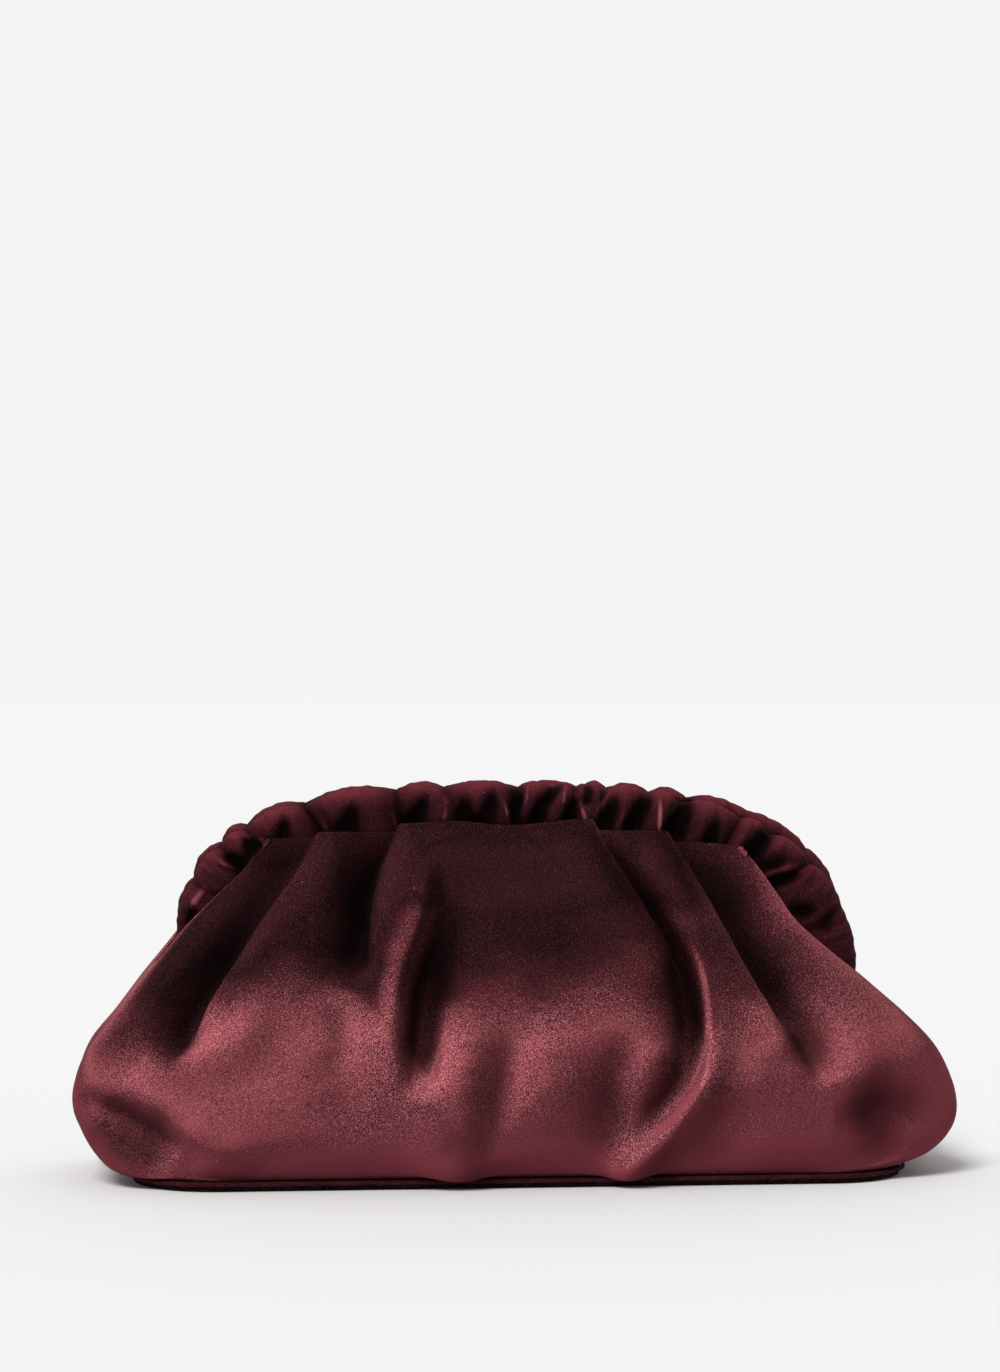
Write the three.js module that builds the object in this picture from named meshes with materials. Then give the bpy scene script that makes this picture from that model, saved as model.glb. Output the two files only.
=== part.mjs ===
// A small velvet clutch bag, shaped like a soft cloud, on a flat stiff base.
// Millimetres, +Z up. The front faces -Y, and the origin is on the floor under its middle.
// Two pleated panels make the pouch. Two gathered sleeves hide the bars of a bent metal frame.

import * as THREE from 'three';

// Driving sizes of the whole bag
const bagWidth = 317;
const bagHeight = 141;
const bellyDepth = 54; // from the middle plane to the front of the belly
const seamPucker = 5; // how far each side seam is drawn in

// Frame and the sleeves over it
const frameWidth = 249; // across the outside of the sleeves
const hingeHeight = 66;
const frontShoulders = [3, 2.5]; // each arch is a superellipse: its powers left and right
const backShoulders = [3.2, 2.9];
const sleeveBand = 20; // from the top of a sleeve to its foot, behind the panel's edge
const sleeveDepth = 15.5; // from the middle plane to the front of a sleeve
const sleeveTuck = 1.3; // how far the foot lies behind the sleeve's front
const gatherDepth = 2.8;
const rodDiameter = 4.4;
const rodOffset = 6.4; // each bar of the frame from the middle plane

// Cloth and folds
const clothWall = 1.6;
const clearance = 0.3;
const pleatRise = 4.2;
const pleatStep = 2.4; // width of the sharp side of a pleat
const lipDepth = 2.2; // how far the rolled edge stands in front of the sleeve

// Base and its piping
const baseLength = 275;
const baseWidth = 92;
const baseThickness = 3.5;
const baseCornerRadius = 30;
const seamInset = 0.7; // the panels stand this far inside the base's edge
const weltDiameter = 1.6;
const weltHeight = 2.7;

const halfWidth = bagWidth / 2;
const halfFrame = frameWidth / 2;
const seamDepth = sleeveDepth + clearance + clothWall;
const ridgeDepth = seamDepth + lipDepth;

const wine = new THREE.MeshStandardMaterial({ color: '#5c1f29', roughness: 0.85, metalness: 0 });
const darkWine = new THREE.MeshStandardMaterial({ color: '#3a141b', roughness: 0.9, metalness: 0 });
const steel = new THREE.MeshStandardMaterial({ color: '#b9b4a8', roughness: 0.35, metalness: 1 });

// Cross sections of the pouch, from the sleeve down to the belly's underside.
// up: height as a share of bagHeight.
// left and right: half widths as shares of a size between halfFrame, at swell 0, and
// halfWidth, at swell 1.
// out: the depth of the middle, from seamDepth at 0 to bellyDepth at 1.
// square: the power of the superellipse that the section follows.
const sections = [
  { up: 0.908, left: 0.691, right: 0.594, swell: 0.0, out: 0.0, square: 2.0 },
  { up: 0.851, left: 0.731, right: 0.627, swell: 0.0, out: 0.13, square: 2.0 },
  { up: 0.78, left: 0.792, right: 0.691, swell: 0.0, out: 0.3, square: 2.0 },
  { up: 0.709, left: 0.876, right: 0.747, swell: 0.0, out: 0.45, square: 2.05 },
  { up: 0.638, left: 0.919, right: 0.768, swell: 0.15, out: 0.57, square: 2.1 },
  { up: 0.567, left: 0.945, right: 0.819, swell: 0.3, out: 0.68, square: 2.15 },
  { up: 0.496, left: 0.958, right: 0.872, swell: 0.5, out: 0.77, square: 2.2 },
  { up: 0.411, left: 0.964, right: 0.922, swell: 0.75, out: 0.86, square: 2.25 },
  { up: 0.326, left: 0.973, right: 0.946, swell: 1.0, out: 0.93, square: 2.3 },
  { up: 0.241, left: 1.0, right: 0.984, swell: 1.0, out: 0.985, square: 2.45 },
  { up: 0.17, left: 1.0, right: 0.996, swell: 1.0, out: 1.0, square: 2.6 },
  { up: 0.113, left: 0.983, right: 0.988, swell: 1.0, out: 0.98, square: 2.85 },
  { up: 0.071, left: 0.962, right: 0.962, swell: 1.0, out: 0.92, square: 3.1 },
  { up: 0.045, left: 0.93, right: 0.93, swell: 1.0, out: 0.85, square: 3.3 },
  { up: 0.034, left: 0.894, right: 0.894, swell: 1.0, out: 0.79, square: 3.4 },
];
const seatRows = 3; // over the last rows the section turns into the base's outline

// Heights between which a side of the panel turns from a lip in front of the sleeve's end
// into a wall that closes on the side seam, as shares of bagHeight.
const wrapFrom = { left: 0.567, right: 0.481 };
const wrapTo = { left: 0.525, right: 0.454 };
const puckerFade = 20; // the side seam's pucker grows over this height below the wrap
const settleHeight = 30; // below its top edge a panel reaches its full swell over this height
const pressedHeight = 14; // pleats are pressed flat at the top edge and open over this height
const pressedShare = 0.3; // how much of a pleat's rise is left at the top edge
const lipRoll = { across: 0.6, back: 0.8 }; // how far a lip's edge turns in, in lipDepths
const sideSpan = 0.3; // the turn from a side's ridge to its seam

// Pleat lines. side: -1 left, 1 right. Each path runs down the panel: across is a share of the
// section's half width at that height, up a share of bagHeight. rise is a share of pleatRise,
// reach (mm) how far the fold slopes back to the middle, fade the heights (shares of bagHeight)
// between which it dies away, going down.
const frontPleats = [
  {
    name: 'left outer', side: -1, rise: 0.9, reach: 30, fade: [0.5, 0.3],
    across: [0.775, 0.762, 0.768, 0.777, 0.775, 0.77], up: [0.861, 0.709, 0.509, 0.357, 0.142, 0.03],
  },
  {
    name: 'left inner', side: -1, rise: 1, reach: 20, fade: [0.66, 0.5],
    across: [0.459, 0.483, 0.435, 0.42, 0.39, 0.39], up: [0.898, 0.775, 0.643, 0.496, 0.255, 0.03],
  },
  {
    name: 'right inner', side: 1, rise: 1.1, reach: 22, fade: [0.4, 0.16],
    across: [0.312, 0.435, 0.468, 0.444, 0.392, 0.325, 0.26],
    up: [0.908, 0.671, 0.577, 0.404, 0.284, 0.201, 0.03],
  },
  {
    name: 'right outer', side: 1, rise: 0.9, reach: 24, fade: [0.48, 0.34],
    across: [0.66, 0.689, 0.62, 0.651, 0.66, 0.66], up: [0.879, 0.628, 0.438, 0.355, 0.177, 0.03],
  },
];
const backPleats = [
  {
    name: 'left outer', side: -1, rise: 0.9, reach: 28, fade: [0.5, 0.32],
    across: [0.72, 0.73, 0.75, 0.75, 0.75], up: [0.88, 0.7, 0.5, 0.3, 0.03],
  },
  {
    name: 'left inner', side: -1, rise: 1, reach: 26, fade: [0.46, 0.24],
    across: [0.36, 0.42, 0.44, 0.42, 0.4], up: [0.9, 0.7, 0.5, 0.3, 0.03],
  },
  {
    name: 'right inner', side: 1, rise: 1, reach: 24, fade: [0.52, 0.34],
    across: [0.4, 0.43, 0.41, 0.4, 0.4], up: [0.9, 0.7, 0.5, 0.3, 0.03],
  },
  {
    name: 'right outer', side: 1, rise: 0.9, reach: 26, fade: [0.46, 0.28],
    across: [0.7, 0.72, 0.73, 0.74, 0.74], up: [0.88, 0.7, 0.5, 0.3, 0.03],
  },
];

// Height of the panel's top edge beside each pleat, as shares of bagHeight, from the left end
// to the right: the cloth steps down at each pleat.
const frontTopEdge = [0.857, 0.859, 0.873, 0.873, 0.894, 0.899, 0.889, 0.904, 0.875, 0.873, 0.845, 0.832];
const backTopEdge = [0.845, 0.85, 0.868, 0.87, 0.888, 0.896, 0.89, 0.892, 0.874, 0.87, 0.85, 0.84];

// Soft ridges and dents. across: share of halfWidth from the middle. up: share of bagHeight.
// wide and tall: half sizes as shares of halfWidth and bagHeight. lean: degrees, top to the
// right. out: share of pleatRise, below 0 a dent.
const frontDents = [
  { name: 'left ridge', across: -0.27, up: 0.5, wide: 0.05, tall: 0.3, lean: 5, out: 0.62 },
  { name: 'left hollow', across: -0.225, up: 0.38, wide: 0.045, tall: 0.2, lean: 0, out: -0.4 },
  { name: 'right fold end', across: 0.31, up: 0.2, wide: 0.045, tall: 0.17, lean: 30, out: 0.7 },
  { name: 'right fold hollow', across: 0.24, up: 0.2, wide: 0.04, tall: 0.13, lean: 25, out: -0.5 },
  { name: 'middle valley', across: -0.07, up: 0.25, wide: 0.05, tall: 0.16, lean: 0, out: -0.35 },
  { name: 'left belly valley', across: -0.6, up: 0.38, wide: 0.05, tall: 0.14, lean: 4, out: -0.4 },
  { name: 'left corner crease', across: -0.86, up: 0.15, wide: 0.11, tall: 0.05, lean: -28, out: -0.8 },
  { name: 'right corner dent', across: 0.82, up: 0.15, wide: 0.07, tall: 0.09, lean: 0, out: -0.8 },
  { name: 'left inner valley', across: -0.43, up: 0.36, wide: 0.045, tall: 0.14, lean: 0, out: -0.35 },
];
const backDents = [
  { name: 'middle swell', across: 0.02, up: 0.4, wide: 0.16, tall: 0.28, lean: 0, out: 0.4 },
  { name: 'left belly valley', across: -0.55, up: 0.36, wide: 0.05, tall: 0.18, lean: 0, out: -0.45 },
  { name: 'right belly valley', across: 0.55, up: 0.38, wide: 0.05, tall: 0.16, lean: 0, out: -0.45 },
  { name: 'right corner crease', across: 0.84, up: 0.16, wide: 0.09, tall: 0.06, lean: 20, out: -0.7 },
];

// Gathers of a sleeve. foot and top: where each valley crosses the sleeve's foot and its top
// line, as shares of the arch from its left end. depth: share of gatherDepth. band: how far
// the sleeve reaches down there, as a share of sleeveBand.
const frontGathers = [
  { foot: 0.076, top: 0.063, depth: 0.6, band: 1.00 },
  { foot: 0.118, top: 0.12, depth: 0.6, band: 1.00 },
  { foot: 0.168, top: 0.17, depth: 0.9, band: 1.00 },
  { foot: 0.214, top: 0.203, depth: 0.8, band: 1.00 },
  { foot: 0.29, top: 0.273, depth: 0.8, band: 1.00 },
  { foot: 0.377, top: 0.374, depth: 0.7, band: 1.00 },
  { foot: 0.451, top: 0.425, depth: 0.6, band: 1.00 },
  { foot: 0.498, top: 0.5, depth: 1.0, band: 1.00 },
  { foot: 0.532, top: 0.54, depth: 0.6, band: 1.00 },
  { foot: 0.566, top: 0.57, depth: 0.7, band: 1.00 },
  { foot: 0.612, top: 0.598, depth: 0.7, band: 1.00 },
  { foot: 0.645, top: 0.642, depth: 0.6, band: 1.00 },
  { foot: 0.688, top: 0.683, depth: 1.0, band: 1.00 },
  { foot: 0.743, top: 0.757, depth: 0.7, band: 1.10 },
  { foot: 0.79, top: 0.793, depth: 0.7, band: 1.21 },
  { foot: 0.84, top: 0.85, depth: 0.6, band: 1.28 },
  { foot: 0.918, top: 0.912, depth: 0.7, band: 1.28 },
];
const backGathers = [
  { foot: 0.08, top: 0.09, depth: 0.7, band: 1.00 },
  { foot: 0.15, top: 0.14, depth: 0.7, band: 1.00 },
  { foot: 0.2, top: 0.21, depth: 0.9, band: 1.00 },
  { foot: 0.26, top: 0.25, depth: 0.6, band: 1.00 },
  { foot: 0.32, top: 0.325, depth: 0.9, band: 1.00 },
  { foot: 0.39, top: 0.38, depth: 0.7, band: 1.00 },
  { foot: 0.46, top: 0.47, depth: 0.9, band: 1.00 },
  { foot: 0.52, top: 0.515, depth: 0.6, band: 1.00 },
  { foot: 0.58, top: 0.59, depth: 0.9, band: 1.00 },
  { foot: 0.64, top: 0.635, depth: 0.7, band: 1.00 },
  { foot: 0.71, top: 0.72, depth: 0.9, band: 1.02 },
  { foot: 0.77, top: 0.765, depth: 0.7, band: 1.16 },
  { foot: 0.83, top: 0.84, depth: 0.8, band: 1.28 },
  { foot: 0.9, top: 0.895, depth: 0.7, band: 1.28 },
];

// Section of a sleeve, from its foot over the top to its inner leg. deep: share of sleeveDepth
// from the middle plane. down: share of sleeveBand below the top line. gather: how much of
// a gather's depth shows there.
const sleeveSection = [
  { deep: 1 - sleeveTuck / sleeveDepth, down: 1.0, gather: 0.2 },
  { deep: 0.98, down: 0.72, gather: 0.7 },
  { deep: 1.0, down: 0.46, gather: 1.0 },
  { deep: 0.93, down: 0.26, gather: 1.0 },
  { deep: 0.75, down: 0.1, gather: 1.0 },
  { deep: 0.48, down: 0.0, gather: 1.0 },
  { deep: 0.2, down: 0.05, gather: 0.7 },
  { deep: clearance / 2 / sleeveDepth, down: 0.2, gather: 0.0 },
  { deep: clearance / 2 / sleeveDepth, down: 0.5, gather: 0.0 },
];

const lerp = THREE.MathUtils.lerp;
const clamp = THREE.MathUtils.clamp;

function ease(from, to, value) {
  const share = clamp((value - from) / (to - from), 0, 1);
  return share * share * (3 - 2 * share);
}

// A smooth curve through the numbers of a list, read at a place between its rows.
function smoothAt(list, place) {
  const last = list.length - 1;
  const row = Math.min(Math.floor(place), last - 1);
  const f = place - row;
  const before = list[Math.max(row - 1, 0)];
  const here = list[row];
  const next = list[row + 1];
  const after = list[Math.min(row + 2, last)];
  const slope = (next - before) * f;
  const bend = (2 * before - 5 * here + 4 * next - after) * f * f;
  const turn = (3 * here - before - 3 * next + after) * f * f * f;
  return 0.5 * (2 * here + slope + bend + turn);
}

// One closed solid from the outer and the inner face of a wall, two grids of the same size.
function wallGeometry(outer, inner) {
  const rows = outer.length;
  const columns = outer[0].length;
  const positions = [];
  for (const face of [outer, inner]) {
    for (const row of face) {
      for (const point of row) positions.push(point.x, point.y, point.z);
    }
  }
  const indices = [];
  const at = (side, row, column) => side * rows * columns + row * columns + column;
  const quad = (a, b, c, d) => indices.push(a, b, c, a, c, d);
  for (let i = 0; i < rows - 1; i += 1) {
    for (let j = 0; j < columns - 1; j += 1) {
      quad(at(0, i, j), at(0, i + 1, j), at(0, i + 1, j + 1), at(0, i, j + 1));
      quad(at(1, i, j), at(1, i, j + 1), at(1, i + 1, j + 1), at(1, i + 1, j));
    }
    quad(at(0, i, 0), at(1, i, 0), at(1, i + 1, 0), at(0, i + 1, 0));
    const end = columns - 1;
    quad(at(0, i, end), at(0, i + 1, end), at(1, i + 1, end), at(1, i, end));
  }
  for (let j = 0; j < columns - 1; j += 1) {
    quad(at(0, 0, j), at(0, 0, j + 1), at(1, 0, j + 1), at(1, 0, j));
    const end = rows - 1;
    quad(at(0, end, j), at(1, end, j), at(1, end, j + 1), at(0, end, j + 1));
  }
  return finished(positions, indices);
}

// One closed ring from loops of points, each loop a section of it.
function ringGeometry(loops) {
  const sides = loops[0].length;
  const positions = [];
  for (const loop of loops) {
    for (const point of loop) positions.push(point.x, point.y, point.z);
  }
  const indices = [];
  for (let i = 0; i < loops.length; i += 1) {
    const next = (i + 1) % loops.length;
    for (let j = 0; j < sides; j += 1) {
      const k = (j + 1) % sides;
      indices.push(i * sides + j, next * sides + j, next * sides + k);
      indices.push(i * sides + j, next * sides + k, i * sides + k);
    }
  }
  return finished(positions, indices);
}

// The mesh with its faces turned outwards, whichever way its grid ran.
function finished(positions, indices) {
  const corner = (index) => new THREE.Vector3().fromArray(positions, index * 3);
  let volume = 0;
  for (let i = 0; i < indices.length; i += 3) {
    volume += corner(indices[i]).dot(corner(indices[i + 1]).cross(corner(indices[i + 2])));
  }
  if (volume < 0) indices.reverse();
  const geometry = new THREE.BufferGeometry();
  geometry.setAttribute('position', new THREE.Float32BufferAttribute(positions, 3));
  geometry.setIndex(indices);
  geometry.computeVertexNormals();
  return geometry;
}

// Sizes of every section in millimetres, with the seat on the base as the last one.
const bulk = sections.map((row) => lerp(halfFrame, halfWidth, row.swell));
const body = {
  up: [...sections.map((row) => row.up * bagHeight), baseThickness + clearance],
  left: [...sections.map((row, i) => row.left * bulk[i]), baseLength / 2 - seamInset],
  right: [...sections.map((row, i) => row.right * bulk[i]), baseLength / 2 - seamInset],
  front: [...sections.map((row) => lerp(seamDepth, bellyDepth, row.out)), baseWidth / 2 - seamInset],
  square: [...sections.map((row) => row.square), sections.at(-1).square],
};
const lastRow = sections.length;

function rowAtHeight(height) {
  let above = 0;
  let below = lastRow;
  for (let i = 0; i < 30; i += 1) {
    const middle = (above + below) / 2;
    if (smoothAt(body.up, middle) > height) above = middle;
    else below = middle;
  }
  return above;
}

// A point of the smooth pouch, with no folds. turn runs from -1 at the left ridge over 0 at the
// middle to 1 at the right ridge, and on past 1 round the side to the seam.
function pouchPoint(turn, row, topHeight = bagHeight) {
  const side = turn < 0 ? 'left' : 'right';
  const height = smoothAt(body.up, row);
  const half = smoothAt(body[side], row);
  const front = smoothAt(body.front, row);
  const square = smoothAt(body.square, row);
  const seat = ease(lastRow - seatRows, lastRow, row);
  const ridge = lerp(ridgeDepth, baseWidth / 2 - baseCornerRadius, seat);
  const angle = (Math.min(Math.abs(turn), 1) * Math.PI) / 2;
  let x = half * Math.sin(angle) ** (2 / square);
  const rounded = ridge + (front - ridge) * Math.max(Math.cos(angle), 0) ** (2 / square);
  const corner = baseCornerRadius - seamInset;
  const past = Math.max(x - (half - corner), 0);
  const seated = front - corner + Math.sqrt(Math.max(corner * corner - past * past, 0));
  const sunk = 1 - clamp((topHeight - height) / settleHeight, 0, 1);
  const settled = 1 - sunk * sunk;
  let depth = lerp(seamDepth + (rounded - seamDepth) * settled, seated, seat);
  if (Math.abs(turn) > 1) {
    const bend = ((Math.abs(turn) - 1) / sideSpan) * (Math.PI / 2);
    const wrap = ease(wrapFrom[side] * bagHeight, wrapTo[side] * bagHeight, height);
    const closed = wrapTo[side] * bagHeight;
    const pucker = seamPucker * (1 - seat) * ease(closed, closed - puckerFade, height);
    const endX = half - lerp(lipDepth * lipRoll.across, pucker, wrap);
    const endDepth = lerp(ridge - lipDepth * lipRoll.back, clearance / 2, wrap);
    x = endX + (half - endX) * Math.cos(bend);
    depth -= (ridge - endDepth) * Math.sin(bend);
  }
  return new THREE.Vector3(turn < 0 ? -x : x, -depth, height);
}

function outwardAt(turn, row, topHeight) {
  const place = clamp(turn, -1, 1);
  const step = 0.02;
  const left = pouchPoint(Math.max(place - step, -1), row, topHeight);
  const right = pouchPoint(Math.min(place + step, 1), row, topHeight);
  const above = pouchPoint(place, Math.max(row - step, 0), topHeight);
  const below = pouchPoint(place, Math.min(row + step, lastRow), topHeight);
  return right.sub(left).cross(above.sub(below)).normalize();
}

// Where a pleat line lies at a height, in millimetres from the middle.
function pleatX(pleat, height, half) {
  const up = height / bagHeight;
  const rows = pleat.up;
  let i = 0;
  while (i < rows.length - 2 && up < rows[i + 1]) i += 1;
  const share = clamp((rows[i] - up) / (rows[i] - rows[i + 1]), 0, 1);
  return pleat.side * half * smoothAt(pleat.across, i + share);
}

function halfAt(side, row) {
  return smoothAt(side < 0 ? body.left : body.right, row);
}

function foldRise(x, row, topHeight, { pleats, dents }) {
  const height = smoothAt(body.up, row);
  const open = lerp(pressedShare, 1, ease(0, pressedHeight, topHeight - height));
  let rise = 0;
  for (const pleat of pleats) {
    const out = pleat.side * (x - pleatX(pleat, height, halfAt(pleat.side, row)));
    const fade = ease(pleat.fade[1] * bagHeight, pleat.fade[0] * bagHeight, height);
    const slope = out > 0 ? ease(pleatStep, 0, out) : ease(-pleat.reach, 0, out);
    rise += pleat.rise * pleatRise * fade * slope * open;
  }
  for (const dent of dents) {
    const lean = THREE.MathUtils.degToRad(dent.lean);
    const dx = x - dent.across * halfWidth;
    const dz = height - dent.up * bagHeight;
    const across = (dx * Math.cos(lean) - dz * Math.sin(lean)) / (dent.wide * halfWidth);
    const along = (dx * Math.sin(lean) + dz * Math.cos(lean)) / (dent.tall * bagHeight);
    rise += dent.out * pleatRise * Math.exp(-across * across - along * along);
  }
  return rise * ease(lastRow, lastRow - seatRows, row);
}

// Stations across a panel, left to right: both sides of each pleat, and the places between.
// Each is a function from a row to a turn.
function stationsOf(pleats) {
  const onPleat = (pleat, offset) => (row) => {
    const half = halfAt(pleat.side, row);
    const x = pleatX(pleat, smoothAt(body.up, row), half) + pleat.side * offset;
    const square = smoothAt(body.square, row);
    return (pleat.side * 2 * Math.asin(clamp(Math.abs(x) / half, 0, 1) ** (square / 2))) / Math.PI;
  };
  const [leftOuter, leftInner, rightInner, rightOuter] = pleats;
  const between = (a, b, share) => (row) => lerp(a(row), b(row), share);
  const crestLeft = onPleat(leftInner, 0);
  const crestRight = onPleat(rightInner, 0);
  return [
    () => -1,
    onPleat(leftOuter, pleatStep),
    onPleat(leftOuter, 0),
    onPleat(leftInner, pleatStep),
    crestLeft,
    between(crestLeft, crestRight, 0.25),
    between(crestLeft, crestRight, 0.55),
    crestRight,
    onPleat(rightInner, pleatStep),
    onPleat(rightOuter, 0),
    onPleat(rightOuter, pleatStep),
    () => 1,
  ];
}

function panelGeometry({ pleats, dents, topEdge, facing }) {
  const stations = stationsOf(pleats);
  const fills = [4, 1, 4, 1, 3, 3, 3, 1, 4, 1, 4]; // columns from each station to the next
  const columns = [];
  const sideColumns = 3;
  for (let k = sideColumns; k > 0; k -= 1) {
    columns.push({ turn: () => -1 - (k / sideColumns) * sideSpan, top: topEdge[0] });
  }
  fills.forEach((count, i) => {
    for (let k = 0; k < count; k += 1) {
      const share = k / count;
      columns.push({
        turn: (row) => lerp(stations[i](row), stations[i + 1](row), share),
        top: lerp(topEdge[i], topEdge[i + 1], share),
      });
    }
  });
  for (let k = 0; k <= sideColumns; k += 1) {
    columns.push({ turn: () => 1 + (k / sideColumns) * sideSpan, top: topEdge.at(-1) });
  }
  const outer = [];
  const inner = [];
  for (let i = 0; i <= lastRow; i += 1) {
    outer.push([]);
    inner.push([]);
    for (const column of columns) {
      const topHeight = column.top * bagHeight;
      const row = lerp(rowAtHeight(topHeight), lastRow, i / lastRow);
      const turn = column.turn(row);
      const smooth = pouchPoint(turn, row, topHeight);
      const outward = outwardAt(turn, row, topHeight);
      const folds = Math.abs(turn) > 1 ? 0 : foldRise(smooth.x, row, topHeight, { pleats, dents });
      const skin = smooth.clone().addScaledVector(outward, folds);
      const lining = smooth.clone().addScaledVector(outward, folds - clothWall);
      if (i === lastRow) lining.z = skin.z;
      skin.y *= facing;
      lining.y *= facing;
      outer[i].push(skin);
      inner[i].push(lining);
    }
  }
  return wallGeometry(outer, inner);
}

// The top line of the sleeves: equal steps along a superellipse from the left hinge over the
// top to the right hinge, each with its place and its outward direction.
function archStations(shares, shoulders) {
  const rise = bagHeight - hingeHeight;
  const fine = 720;
  const points = [];
  for (let i = 0; i <= fine; i += 1) {
    const angle = Math.PI * (1 - i / fine);
    const power = Math.cos(angle) < 0 ? shoulders[0] : shoulders[1];
    const x = halfFrame * Math.sign(Math.cos(angle)) * Math.abs(Math.cos(angle)) ** (2 / power);
    points.push(new THREE.Vector3(x, 0, hingeHeight + rise * Math.abs(Math.sin(angle)) ** (2 / power)));
  }
  const lengths = [0];
  for (let i = 1; i <= fine; i += 1) {
    lengths.push(lengths[i - 1] + points[i].distanceTo(points[i - 1]));
  }
  const total = lengths[fine];
  return shares.map((share) => {
    let i = 0;
    while (i < fine - 1 && lengths[i + 1] < share * total) i += 1;
    const f = (share * total - lengths[i]) / (lengths[i + 1] - lengths[i]);
    const place = points[i].clone().lerp(points[i + 1], f);
    const ahead = points[Math.min(i + 3, fine)].clone().sub(points[Math.max(i - 2, 0)]).normalize();
    return { place, outward: new THREE.Vector3(-ahead.z, 0, ahead.x), share };
  });
}

function sleeveGeometry({ gathers, shoulders, facing }) {
  const puffsBetween = 2;
  const start = { foot: 0, top: 0, depth: 0, band: 1 };
  const valleys = [start, ...gathers, { ...start, foot: 1, top: 1 }];
  const columns = [];
  for (let i = 0; i < valleys.length - 1; i += 1) {
    for (let k = 0; k <= puffsBetween; k += 1) {
      const share = k / (puffsBetween + 1);
      const a = valleys[i];
      const b = valleys[i + 1];
      columns.push({
        foot: lerp(a.foot, b.foot, share),
        top: lerp(a.top, b.top, share),
        dip: k === 0 ? a.depth * gatherDepth : 0,
        band: lerp(a.band, b.band, share) * sleeveBand,
      });
    }
  }
  columns.push({ foot: 1, top: 1, dip: 0, band: sleeveBand });
  const outer = [];
  const inner = [];
  for (const column of columns) {
    const shares = sleeveSection.map((point) => lerp(column.top, column.foot, clamp(point.down, 0, 1)));
    const stations = archStations(shares, shoulders);
    const skin = sleeveSection.map((point, i) => {
      const { place, outward } = stations[i];
      const spot = place.clone().addScaledVector(outward, -point.down * column.band);
      spot.y = -point.deep * sleeveDepth;
      return spot;
    });
    const away = skin.map((spot, i) => {
      const before = skin[Math.max(i - 1, 0)];
      const after = skin[Math.min(i + 1, skin.length - 1)];
      const along = after.clone().sub(before).normalize();
      const ahead = new THREE.Vector3(stations[i].outward.z, 0, -stations[i].outward.x);
      return ahead.cross(along).normalize();
    });
    const dipped = skin.map((spot, i) =>
      spot.clone().addScaledVector(away[i], -column.dip * sleeveSection[i].gather));
    const lining = dipped.map((spot, i) => spot.clone().addScaledVector(away[i], -clothWall));
    for (const row of [dipped, lining]) for (const spot of row) spot.y *= facing;
    outer.push(dipped);
    inner.push(lining);
  }
  return wallGeometry(outer, inner);
}

// The bent rod of the frame: over the front, round the right hinge, over the back and round
// the left hinge, as one closed ring.
function frameGeometry() {
  const archSteps = 30;
  const hingeSteps = 5;
  const sides = 7;
  const down = clothWall + gatherDepth + clearance + rodDiameter / 2;
  const shares = Array.from({ length: archSteps + 1 }, (_, i) => i / archSteps);
  const arch = archStations(shares, frontShoulders).map(({ place, outward }) =>
    place.clone().addScaledVector(outward, -down));
  const path = arch.map((point) => new THREE.Vector3(point.x, -rodOffset, point.z));
  const turn = (end, sign) => {
    for (let i = 1; i < hingeSteps; i += 1) {
      const angle = (Math.PI * i) / hingeSteps;
      const y = -sign * rodOffset * Math.cos(angle);
      path.push(new THREE.Vector3(end.x, y, end.z - rodOffset * Math.sin(angle)));
    }
  };
  turn(arch.at(-1), 1);
  for (const point of [...arch].reverse()) path.push(new THREE.Vector3(point.x, rodOffset, point.z));
  turn(arch[0], -1);
  return ringGeometry(tubeLoops(path, rodDiameter / 2, sides));
}

// Round sections along a closed path, turned as little as the path allows.
function tubeLoops(path, radius, sides) {
  const loops = [];
  const heading = (i) => path[(i + 1) % path.length].clone()
    .sub(path[(i + path.length - 1) % path.length]).normalize();
  let across = new THREE.Vector3(0, 1, 0).cross(heading(0)).normalize();
  if (across.length() < 0.5) across = new THREE.Vector3(0, 0, 1);
  path.forEach((point, i) => {
    const ahead = heading(i);
    across = across.addScaledVector(ahead, -across.dot(ahead)).normalize();
    const other = ahead.clone().cross(across);
    loops.push(Array.from({ length: sides }, (_, k) => {
      const angle = (2 * Math.PI * k) / sides;
      return point.clone().addScaledVector(across, radius * Math.cos(angle))
        .addScaledVector(other, radius * Math.sin(angle));
    }));
    across = across.clone();
  });
  return loops;
}

function roundedRectangle(length, width, radius) {
  const shape = new THREE.Shape();
  const x = length / 2;
  const y = width / 2;
  shape.moveTo(-x + radius, -y);
  shape.lineTo(x - radius, -y);
  shape.absarc(x - radius, -y + radius, radius, -Math.PI / 2, 0, false);
  shape.lineTo(x, y - radius);
  shape.absarc(x - radius, y - radius, radius, 0, Math.PI / 2, false);
  shape.lineTo(-x + radius, y);
  shape.absarc(-x + radius, y - radius, radius, Math.PI / 2, Math.PI, false);
  shape.lineTo(-x, -y + radius);
  shape.absarc(-x + radius, -y + radius, radius, Math.PI, Math.PI * 1.5, false);
  return shape;
}

function baseGeometry() {
  const edge = 0.8; // rounding of the covered edge
  const shape = roundedRectangle(
    baseLength - 2 * edge, baseWidth - 2 * edge, baseCornerRadius - edge);
  const geometry = new THREE.ExtrudeGeometry(shape, {
    depth: baseThickness - 2 * edge,
    bevelEnabled: true,
    bevelThickness: edge,
    bevelSize: edge,
    bevelSegments: 2,
    curveSegments: 7,
  });
  geometry.translate(0, 0, edge);
  return geometry;
}

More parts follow.
